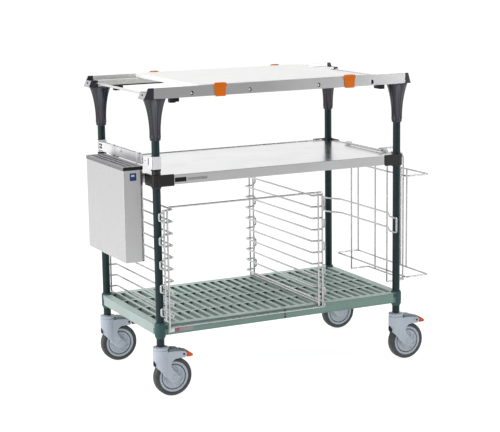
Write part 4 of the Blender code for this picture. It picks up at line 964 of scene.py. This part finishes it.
def make_knife_box():
    """A brushed steel box on two hooks, its mouth filled by a slotted insert."""
    low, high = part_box("knife_box")
    x_in, sheet = BOX_HIGH.x + 0.0018, 0.0015
    y_low, y_high = low.y, high.y
    rim = BOX_LOW.z + 0.01

    def wall(inset):
        """The box's plan: a large radius at its inboard front edge, small ones elsewhere."""
        corners = ((low.x + inset, y_low + inset, 0.003), (x_in - inset, y_low + inset, 0.014),
                   (x_in - inset, y_high - inset, 0.003), (low.x + inset, y_high - inset, 0.003))
        points = []
        for index, (x, y, radius) in enumerate(corners):
            here = Vector((x, y, 0.0))
            before = Vector((*corners[index - 1][:2], 0.0)) - here
            after = Vector((*corners[(index + 1) % 4][:2], 0.0)) - here
            reach = max(0.001, radius - inset)
            first, last = here + before.normalized() * reach, here + after.normalized() * reach
            for step in range(9):
                t = step / 8.0
                point = first.lerp(here, t).lerp(here.lerp(last, t), t)
                points.append((point.x, point.y))
        return points

    bm = bmesh.new()
    plate(bm, wall(0.0), low.z, rim, 0.0006, [wall(sheet)])
    plate(bm, wall(0.0004), low.z, low.z + sheet, 0.0005)
    top = HANGER_HIGH.z + 0.0005
    lip = HANGER_HIGH.x + 0.0003
    piece("box_shell", bm, "box", "knife_box", ["knife_box"])
    bm = bmesh.new()
    for y in (-0.145, 0.07):
        hook = [(x_in - sheet * 0.8, rim - 0.02), (x_in + sheet * 0.4, rim - 0.02),
                (x_in + sheet * 0.4, top), (lip, top), (lip, top - 0.016), (lip + sheet, top - 0.016),
                (lip + sheet, top + sheet), (x_in - sheet * 0.8, top + sheet)]
        upright = moved(0.0, y, 0.0) @ FACE_OUT
        plate(bm, rounded(hook, 0.0006, 2), -0.0055, 0.0055, 0.0003, place=upright)
    piece("box_hooks", bm, "plain", "knife_box")
    bm = bmesh.new()
    middle_x, pitch = (low.x + x_in) / 2.0, 0.017
    holes = []
    columns = 2
    length = (y_high - y_low - 0.024) / columns
    for row in (-1, 0, 1):
        x = middle_x + row * pitch
        for column in range(columns):
            start = y_low + 0.012 + length * column + 0.003
            slot = rectangle(x - 0.0042, start, x + 0.0042, start + length - 0.006)
            holes.append(rounded(slot, 0.002, 3))
    plate(bm, wall(0.0004), BOX_HIGH.z - 0.003, BOX_HIGH.z, 0.0008, holes)
    piece("box_insert", bm, "insert", "knife_box", ["knife_box_insert"])
    # Dark walls under the insert's slots: painted shade in the slots.
    bm = bmesh.new()
    plate(bm, wall(0.002), rim - 0.01, BOX_HIGH.z - 0.0028, 0.0004, holes)
    piece("box_slot_walls", bm, "dark", "knife_box")
    bm = bmesh.new()
    plate(bm, wall(-0.0012), rim - 0.0082, BOX_HIGH.z - 0.0004, 0.0012, [wall(0.001)])
    # The trim's look paints its top face light and its sides in shade.
    piece("box_trim", bm, "trim", "knife_box")
    label_x, label_z = middle_x - 0.002, rim - 0.029
    label = (label_x - 0.011, label_z - 0.012, label_x + 0.011, label_z + 0.012)
    patch = (label_x - 0.0065, label_z + 0.001, label_x + 0.0045, label_z + 0.007)
    sticker("box_label", "label", "knife_box", label, 0.0022, y_low, (0.0, 0.0005))
    raised = (0.0003, 0.0008)
    sticker("box_label_patch", "label_patch", "knife_box", patch, 0.0015, y_low, raised)


# ----------------------------------------------------------------------- wires
WIRE_R = 0.0031
WELD = 0.0044
UPRIGHT_Y = 0.2525
RUNG_TOP = 0.603
RUNG_PITCH = 0.0381
RUNG_COUNT = 10
RACK_FOOT = 0.215
BASE_Z = FRAME_HIGH.z + WIRE_R + 0.0007


def bent(bm, points, radius, closed=False):
    """A wire of the racks' gauge along a line with bends of a radius."""
    wire(bm, bend(points, radius, closed), WIRE_R, closed=closed)


def rack_wires(bm, inner, outer, rung_x, reach):
    """Rungs across the trolley and the small loops on a slide's outer uprights."""
    out = 1.0 if outer > inner else -1.0
    weld_y, loop_y, drop = UPRIGHT_Y - WELD, UPRIGHT_Y - 0.0003, 0.0066
    for index in range(RUNG_COUNT):
        z = RUNG_TOP - RUNG_PITCH * index
        bent(bm, [(outer + out * 0.0025, -weld_y, z), (rung_x, -weld_y, z), (rung_x, weld_y, z),
                  (outer + out * 0.0025, weld_y, z)], 0.01)
    for sy in (-1.0, 1.0):
        for index in range(0, RUNG_COUNT - 1, 2):
            high = RUNG_TOP - RUNG_PITCH * index - drop
            low = RUNG_TOP - RUNG_PITCH * (index + 1) + drop
            bent(bm, [(outer, sy * loop_y, high), (outer + out * reach, sy * loop_y, high),
                      (outer + out * reach, sy * loop_y, low), (outer, sy * loop_y, low)], 0.006)


def make_tray_slides():
    """Two wire tray slides and the wires that tie them together."""
    inner, outer = -0.413, -0.425
    bm = bmesh.new()
    rack_wires(bm, inner, outer, -0.393, 0.016)
    for x, foot in ((inner, RACK_FOOT), (outer, 0.248)):
        for sy in (-1.0, 1.0):
            wire(bm, [(x, sy * UPRIGHT_Y, RUNG_TOP + 0.004), (x, sy * UPRIGHT_Y, foot)], WIRE_R)
    wire(bm, [(inner + 0.0012, -UPRIGHT_Y, BASE_Z), (inner + 0.0012, UPRIGHT_Y, BASE_Z)], WIRE_R)
    piece("slide_left", bm, "wire", "frame", ["tray_slide_left"], 60.0)
    inner, outer = 0.125, 0.14
    tie_end, tie_high, tie_low = -0.409, 0.613, 0.2285
    bm = bmesh.new()
    rack_wires(bm, inner, outer, 0.105, 0.008)
    wire(bm, [(inner, -UPRIGHT_Y, tie_high), (inner, -UPRIGHT_Y, tie_low - WIRE_R)], WIRE_R)
    for x in (inner, outer):
        wire(bm, [(x, UPRIGHT_Y, RUNG_TOP + 0.004), (x, UPRIGHT_Y, RACK_FOOT)], WIRE_R)
    bent(bm, [(tie_end, -UPRIGHT_Y, tie_high), (outer, -UPRIGHT_Y, tie_high),
              (outer, -UPRIGHT_Y, tie_low - WIRE_R)], 0.008)
    bent(bm, [(tie_end, -UPRIGHT_Y - WELD, tie_low), (outer + WELD, -UPRIGHT_Y - WELD, tie_low),
              (outer + WELD, -UPRIGHT_Y - WELD, BASE_Z), (outer + WELD, UPRIGHT_Y, BASE_Z)], 0.004)
    wire(bm, [(inner + 0.0012, -UPRIGHT_Y, BASE_Z), (inner + 0.0012, UPRIGHT_Y, BASE_Z)], WIRE_R)
    piece("slide_right", bm, "wire", "frame", ["tray_slide_right"], 60.0)


def make_pocket():
    """The wire pocket hooked over the middle shelf's right edge."""
    near, far, front, back = 0.4613, 0.548, -0.262, 0.205
    high, low, floor = 0.64, 0.292, 0.253
    hanger, hook_z, hook_end = 0.457, 0.716, 0.43
    back_y, front_y, floor_x = 0.097, -0.144, 0.529
    riser_x, riser_y, divider_y = floor_x + 0.0004, -0.1325, 0.052
    bm = bmesh.new()
    for z in (high, low):
        bent(bm, [(near, front, z), (far, front, z), (far, back, z), (near, back, z)], 0.012, True)
    bent(bm, [(hanger, back_y, floor), (hanger, back_y, hook_z), (hook_end, back_y, hook_z),
              (hook_end, front_y, hook_z), (hanger, front_y, hook_z), (hanger, front_y, floor)], 0.005)
    bent(bm, [(hanger - 0.001, back_y, floor), (floor_x, back_y, floor), (floor_x, front_y, floor),
              (hanger - 0.001, front_y, floor)], 0.008)
    bent(bm, [(riser_x, riser_y, floor), (riser_x, riser_y, 0.69),
              (riser_x - 0.03, riser_y, hook_z + WELD),
              (hook_end - 0.001, riser_y, hook_z + WELD)], 0.014)
    bent(bm, [(riser_x, divider_y, floor), (riser_x, divider_y, high + WELD),
              (far + 0.001, divider_y, high + WELD)], 0.008)
    for y in (0.195, -0.095, -0.133):
        wire(bm, [(far - WELD, y, low - 0.001), (far - WELD, y, high + 0.001)], WIRE_R)
    hook_x, wrap_y = POST_X - 0.0165, POST_Y + 0.0165
    path = []
    for sy, (first, second) in ((-1, (0.4985, 0.449)), (1, (0.449, 0.4985))):
        leg = [(hanger - WELD, sy * 0.16), (hook_x, sy * 0.216),
               (hook_x, sy * wrap_y), (0.429, sy * wrap_y)]
        path += [(x, y, first) for x, y in leg]
        path += [(x, y, second) for x, y in reversed(leg)]
    bent(bm, path, 0.007, True)
    piece("pocket", bm, "wire", "board_pocket", ["board_pocket"], 60.0)


# --------------------------------------------------------------------- casters
WHEEL_R = 0.0635
AXLE_X = 0.038
AXLE_Z = middle("wheel_hub_front_left").z
FORK_IN, FORK_OUT = 0.018, 0.0225
PIVOT_X, PIVOT_Z = 0.0705, 0.1355
NOSE_Z = 0.1075
HOOD_R = 0.0252
HOOD_ANGLES = [math.radians(62.0 + 236.0 * step / 32.0) for step in range(33)]


def fork_shape():
    """The caster's housing about its swivel axis: collar, hooded crown and two legs in one casting."""
    leg = [(-0.002, 0.149), (-0.002, 0.076), (0.0011, 0.0722), (0.022, 0.0532),
           (0.03, 0.0495), (0.04, 0.048), (0.05, 0.052), (0.057, 0.064), (0.0394, 0.0813),
           (0.0275, 0.097), (0.0272, 0.112), (0.0405, 0.1231), (0.0596, 0.1238), (0.0751, 0.123),
           (0.08, 0.129), (0.0808, 0.137), (0.077, 0.143), (0.068, 0.1465), (0.03, 0.149)]
    bm = bmesh.new()
    for sy in (-1.0, 1.0):
        span = sided(sy, FORK_IN, FORK_OUT)
        plate(bm, rounded(leg, 0.005, 4), span[0], span[1], 0.001, place=FACE_OUT)
    crown = [(-0.01, 0.133), (-0.01, 0.148), (0.04, 0.148), (0.057, 0.146), (0.06, 0.143),
             (0.056, 0.133)]
    plate(bm, rounded(crown, 0.004, 3), -FORK_OUT + 0.0003, FORK_OUT - 0.0003, 0.001, place=FACE_OUT)
    hood = [(HOOD_R * math.cos(a), HOOD_R * math.sin(a)) for a in HOOD_ANGLES]
    hood += [(0.0205 * math.cos(a), 0.0205 * math.sin(a)) for a in reversed(HOOD_ANGLES)]
    shell = bmesh.new()
    plate(shell, hood, 0.1, 0.15, 0.0012)
    for vert in shell.verts:
        if vert.co.z < 0.11 and vert.co.x > -0.0206:
            vert.co.z -= 1.138 * (vert.co.x + 0.0206)
    merge(bm, to_mesh(shell, "shell"))
    turned(bm, [(0.0, 0.164), (0.0225, 0.164), (0.0246, 0.163), (0.0254, 0.1612), (0.0254, 0.1572),
                (0.0222, 0.1562), (0.0222, 0.1538), (0.0252, 0.1526), (0.0252, 0.135), (0.0, 0.135)], 72)
    body = to_mesh(bm, "fork")
    body = modified(body, "REMESH", mode="VOXEL", voxel_size=0.001, adaptivity=0.0)
    body = modified(body, "SMOOTH", factor=0.5, iterations=3)
    bm = bmesh.new()
    sideways = moved(-0.015, 0.0, NOSE_Z) @ Matrix.Rotation(-math.pi / 2.0, 4, "Y")
    turned(bm, [(0.0, 0.0), (0.0128, 0.0), (0.0128, 0.025), (0.0, 0.025)], 36, sideways)
    body = drilled(body, to_mesh(bm, "window"))
    return body


def tyre_shape():
    """The tread ring about Z, with soft shoulders."""
    half, inner = 0.015, 0.05
    radius = WHEEL_R - 0.0004
    profile = [(inner, half - 0.001), (inner + 0.004, half - 0.0002), (radius - 0.008, half - 0.0006)]
    for step in range(7):
        angle = math.radians(90.0 - 90.0 * step / 6.0)
        reach = radius - 0.0065 + 0.0065 * math.cos(angle)
        profile.append((reach, half - 0.007 + 0.006 * math.sin(angle)))
    mirrored = [(r, -z) for r, z in reversed(profile)]
    bm = bmesh.new()
    turned(bm, profile + mirrored + [profile[0]], 96)
    return to_mesh(bm, "tyre")


def hub_shape():
    """The wheel's disc about Z: rim, groove, web with swirled ribs and a boss."""
    side = [(0.05, 0.0125), (0.049, 0.0135), (0.044, 0.0138), (0.0422, 0.0128), (0.0418, 0.0088),
            (0.0392, 0.0088), (0.0385, 0.0122), (0.0368, 0.0132), (0.03, 0.0118), (0.02, 0.0112),
            (0.0178, 0.0118), (0.017, 0.015), (0.016, 0.0155), (0.011, 0.0155), (0.01, 0.0148)]
    bore = 0.0044
    profile = [(bore, 0.0148)] + side[::-1] + [(r, -z) for r, z in side] + [(bore, -0.0148), (bore, 0.0148)]
    bm = bmesh.new()
    turned(bm, profile, 96)
    for sz in (-1.0, 1.0):
        for rib in range(8):
            start = math.tau * rib / 8.0
            path = []
            for step in range(9):
                t = step / 8.0
                radius, angle = 0.0185 + 0.018 * t, start + sz * 0.75 * t * t
                height = 0.0112 + 0.0014 * t
                path.append((radius * math.cos(angle), radius * math.sin(angle), sz * height))
            wire(bm, path, 0.0012, 8)
    return to_mesh(bm, "hub")


def pedal_shape(outline, half):
    """A slice of the brake pedal between its two side faces."""
    bm = bmesh.new()
    plate(bm, rounded(outline, 0.0025, 4), -half, half, 0.0014, place=FACE_OUT)
    return bm


def rivet_shape():
    """Ring-headed pivot pins on both cheeks and the axle's nuts, about the swivel axis."""
    ring = [(0.0, 0.0002), (0.0034, 0.0002), (0.004, 0.002), (0.006, 0.0026), (0.0086, 0.0022),
            (0.0104, 0.0008), (0.0104, -0.001), (0.0, -0.001)]
    nut = [(0.0, 0.001), (0.0058, 0.001), (0.0064, 0.0004), (0.0078, 0.0004), (0.0086, 0.0012),
           (0.0104, 0.001), (0.0108, 0.0002), (0.0108, -0.001), (0.0, -0.001)]
    bm = bmesh.new()
    for sy in (-1.0, 1.0):
        outward = Matrix.Rotation(-sy * math.pi / 2.0, 4, "X")
        turned(bm, ring, 28, moved(PIVOT_X, sy * FORK_OUT, PIVOT_Z) @ outward)
        turned(bm, nut, 28, moved(AXLE_X, sy * FORK_OUT, AXLE_Z) @ outward)
    wire(bm, [(AXLE_X, -FORK_OUT, AXLE_Z), (AXLE_X, FORK_OUT, AXLE_Z)], 0.0038, 20)
    return to_mesh(bm, "rivets")


def make_casters():
    """Four braked casters, all trailing towards the right end."""
    fork, tyre, hub, rivets = fork_shape(), tyre_shape(), hub_shape(), rivet_shape()
    arm = [(0.0625, 0.134), (0.068, 0.129), (0.0785, 0.1262), (0.0825, 0.1258), (0.0825, 0.144),
           (0.0697, 0.1488), (0.0625, 0.147)]
    tongue = [(0.0822, 0.1243), (0.0965, 0.1245), (0.1015, 0.1262), (0.103, 0.13), (0.099, 0.1345),
              (0.0895, 0.1412), (0.0822, 0.144)]
    arm_shape = to_mesh(pedal_shape(arm, FORK_IN - 0.0008), "pedal_arm")
    bm = pedal_shape(tongue, FORK_OUT - 0.0006)
    for rib in range(3):
        x, z = 0.086 + 0.004 * rib, 0.1428 - 0.0032 * rib
        wire(bm, [(x, -FORK_IN, z), (x, FORK_IN, z)], 0.0009, 8)
    tip_shape = to_mesh(bm, "pedal_tip")
    top = [(0.02, 0.147), (0.02, 0.1552), (0.0413, 0.156), (0.06, 0.1525), (0.0625, 0.147)]
    lever = to_mesh(pedal_shape(top, FORK_OUT - 0.003), "lever")
    bm = bmesh.new()
    turned(bm, [(0.0, 0.2235), (STEM_R - 0.002, 0.2235), (STEM_R, 0.2215), (STEM_R, 0.16),
                (0.0, 0.16)], 40)
    washer = [(POST_R + 0.0008, 0.1636), (POST_R + 0.0008, 0.166), (0.016, 0.166), (0.0168, 0.1652),
              (0.0168, 0.1636)]
    turned(bm, washer + washer[:1], 48)
    stem = to_mesh(bm, "stem")
    # A dark patch behind the housing's nose window is painted shade inside it; dark discs sit in the middle
    # of the pivot pins' ring heads.
    bm = bmesh.new()
    block(bm, (-0.0208, -0.015, 0.1), (-0.0178, 0.015, NOSE_Z + 0.014), 0.001)
    for sy in (-1.0, 1.0):
        outward = Matrix.Rotation(-sy * math.pi / 2.0, 4, "X")
        turned(bm, [(0.0, 0.0009), (0.003, 0.0009), (0.0034, 0.0004), (0.0034, 0.0), (0.0, 0.0)], 20,
               moved(PIVOT_X, sy * FORK_OUT, PIVOT_Z) @ outward)
    brake = to_mesh(bm, "brake")
    bm = bmesh.new()
    for sz in (-1.0, 1.0):
        ring = [(0.0394, sz * 0.008), (0.0416, sz * 0.008), (0.0416, sz * 0.0092), (0.0394, sz * 0.0092)]
        turned(bm, ring + ring[:1], 72)
    groove = to_mesh(bm, "groove")
    for tag, sx, sy in CORNERS:
        at = at_post(sx, sy)
        on_axle = at @ moved(AXLE_X, 0.0, AXLE_Z) @ Matrix.Rotation(math.pi / 2.0, 4, "X")
        tip = "pedal_red" if tag == "back_left" else "pedal"
        caster, wheel, pedal = "caster_" + tag, "wheel_" + tag, "pedal_" + tag
        piece("fork_" + tag, fork.copy(), "caster", caster, ["caster_fork_" + tag], 45.0, at)
        for name, shape, look in (("stem_", stem, "screw"), ("lever_", lever, "lever"),
                                  ("rivets_", rivets, "wheel"), ("brake_", brake, "dark")):
            piece(name + tag, shape.copy(), look, caster, (), 40.0, at)
        piece("hub_" + tag, hub.copy(), "wheel", wheel, ["wheel_hub_" + tag], 40.0, on_axle)
        piece("tyre_" + tag, tyre.copy(), "tyre", wheel, ["wheel_tyre_" + tag], 50.0, on_axle)
        piece("hub_groove_" + tag, groove.copy(), "groove", wheel, (), 40.0, on_axle)
        piece("pedal_" + tag, tip_shape.copy(), tip, pedal, ["brake_" + pedal], 40.0, at)
        piece("pedal_arm_" + tag, arm_shape.copy(), "lever", pedal, (), 40.0, at)


# ---------------------------------------------------------- studio and camera
def make_floor():
    """A very large pale floor that also fills the background."""
    bm = bmesh.new()
    bmesh.ops.create_grid(bm, x_segments=8, y_segments=8, size=90.0)
    mesh = to_mesh(bm, "floor")
    look = Look("studio_floor", specular=0.0)
    look.colour(look.noise(0.8, 2.0), (0.36, 0.36, 0.36, 1.0), (0.38, 0.38, 0.38, 1.0))
    look.gloss(look.noise(3.0, 2.0), 0.7, 0.85)
    split = look.node("ShaderNodeSeparateXYZ")
    near = look.node("ShaderNodeMapRange", From_Min=-2.4, From_Max=-1.1)
    glow = look.node("ShaderNodeValToRGB")
    glow.color_ramp.elements[0].color = (0.52, 0.52, 0.52, 1.0)
    look.link(look.place, split.inputs["Vector"])
    look.link(split.outputs["Y"], near.inputs["Value"])
    look.link(near.outputs["Result"], glow.inputs["Fac"])
    look.link(glow.outputs["Color"], look.shader.inputs["Emission Color"])
    look.shader.inputs["Emission Strength"].default_value = 0.86
    mesh.materials.append(look.material)
    floor = placed("studio_floor", mesh)


def soft_light(name, place, target, size, power):
    """A rectangular softbox aimed at a point."""
    data = bpy.data.lights.new(name, "AREA")
    data.shape = "RECTANGLE"
    data.size, data.size_y = size
    data.energy = power
    lamp = placed(name, data)
    lamp.location = place
    aim = Vector(target) - Vector(place)
    lamp.rotation_mode = "QUATERNION"
    lamp.rotation_quaternion = aim.to_track_quat("-Z", "Y")


def make_studio():
    """An even pale surround with a large soft light from the left and a narrow one at the right."""
    world = bpy.data.worlds.new("studio")
    world.use_nodes = True
    tree = world.node_tree
    shader = tree.nodes["Background"]
    coordinates = tree.nodes.new("ShaderNodeTexCoord")
    split = tree.nodes.new("ShaderNodeSeparateXYZ")
    depth = tree.nodes.new("ShaderNodeMapRange")
    depth.inputs["From Min"].default_value = -1.0
    ramp = tree.nodes.new("ShaderNodeValToRGB")
    tree.links.new(coordinates.outputs["Generated"], split.inputs["Vector"])
    tree.links.new(split.outputs["Y"], depth.inputs["Value"])
    tree.links.new(depth.outputs["Result"], ramp.inputs["Fac"])
    stops = ramp.color_ramp.elements
    stops[0].position, stops[0].color = 0.05, (0.16, 0.16, 0.17, 1.0)
    stops[1].position, stops[1].color = 0.95, (1.0, 1.0, 1.0, 1.0)
    for position, level in ((0.5, 0.4), (0.75, 0.72)):
        stops.new(position).color = (level, level, level, 1.0)
    tree.links.new(ramp.outputs["Color"], shader.inputs["Color"])
    shader.inputs["Strength"].default_value = 1.15
    bpy.context.scene.world = world
    soft_light("left_softbox", (-3.6, -0.6, 1.7), (0.0, 0.0, 0.5), (2.6, 2.6), 80.0)
    soft_light("right_strip", (2.6, -2.6, 1.5), (0.2, 0.0, 0.5), (0.5, 2.4), 30.0)
    soft_light("top_softbox", (0.2, 0.6, 3.6), (0.0, 0.0, 0.6), (2.6, 2.0), 24.0)
    bpy.context.scene.view_settings.view_transform = "Standard"


CAMERA_PLACE = (-2.183, -4.385, 1.419)
CAMERA_AZIMUTH = math.radians(26.47)
CAMERA_DIP = math.radians(10.56)
CAMERA_ROLL = math.radians(-0.82)
CAMERA_LENS = 105.55
SENSOR = 36.0


def make_camera():
    """A long lens at the front left, a little above the trolley's top."""
    data = bpy.data.cameras.new("camera")
    data.lens = CAMERA_LENS
    data.sensor_width = SENSOR
    data.clip_end = 200.0
    camera = placed("camera", data)
    ahead = Vector((math.sin(CAMERA_AZIMUTH) * math.cos(CAMERA_DIP),
                    math.cos(CAMERA_AZIMUTH) * math.cos(CAMERA_DIP), -math.sin(CAMERA_DIP)))
    level = Vector((math.cos(CAMERA_AZIMUTH), -math.sin(CAMERA_AZIMUTH), 0.0))
    above = level.cross(ahead)
    right = level * math.cos(CAMERA_ROLL) + above * math.sin(CAMERA_ROLL)
    up = above * math.cos(CAMERA_ROLL) - level * math.sin(CAMERA_ROLL)
    turn = Matrix((right, up, -ahead)).transposed()
    camera.matrix_world = Matrix.Translation(CAMERA_PLACE) @ turn.to_4x4()
    bpy.context.scene.camera = camera


make_camera()
make_studio()
make_floor()
make_posts()
make_brackets()
make_rails()
make_end_caps()
make_cross_bars()
make_board()
make_middle_shelf()
make_shelf_corners()
make_lower_shelf()
make_collars()
make_hanger()
make_knife_box()
make_tray_slides()
make_pocket()
make_casters()
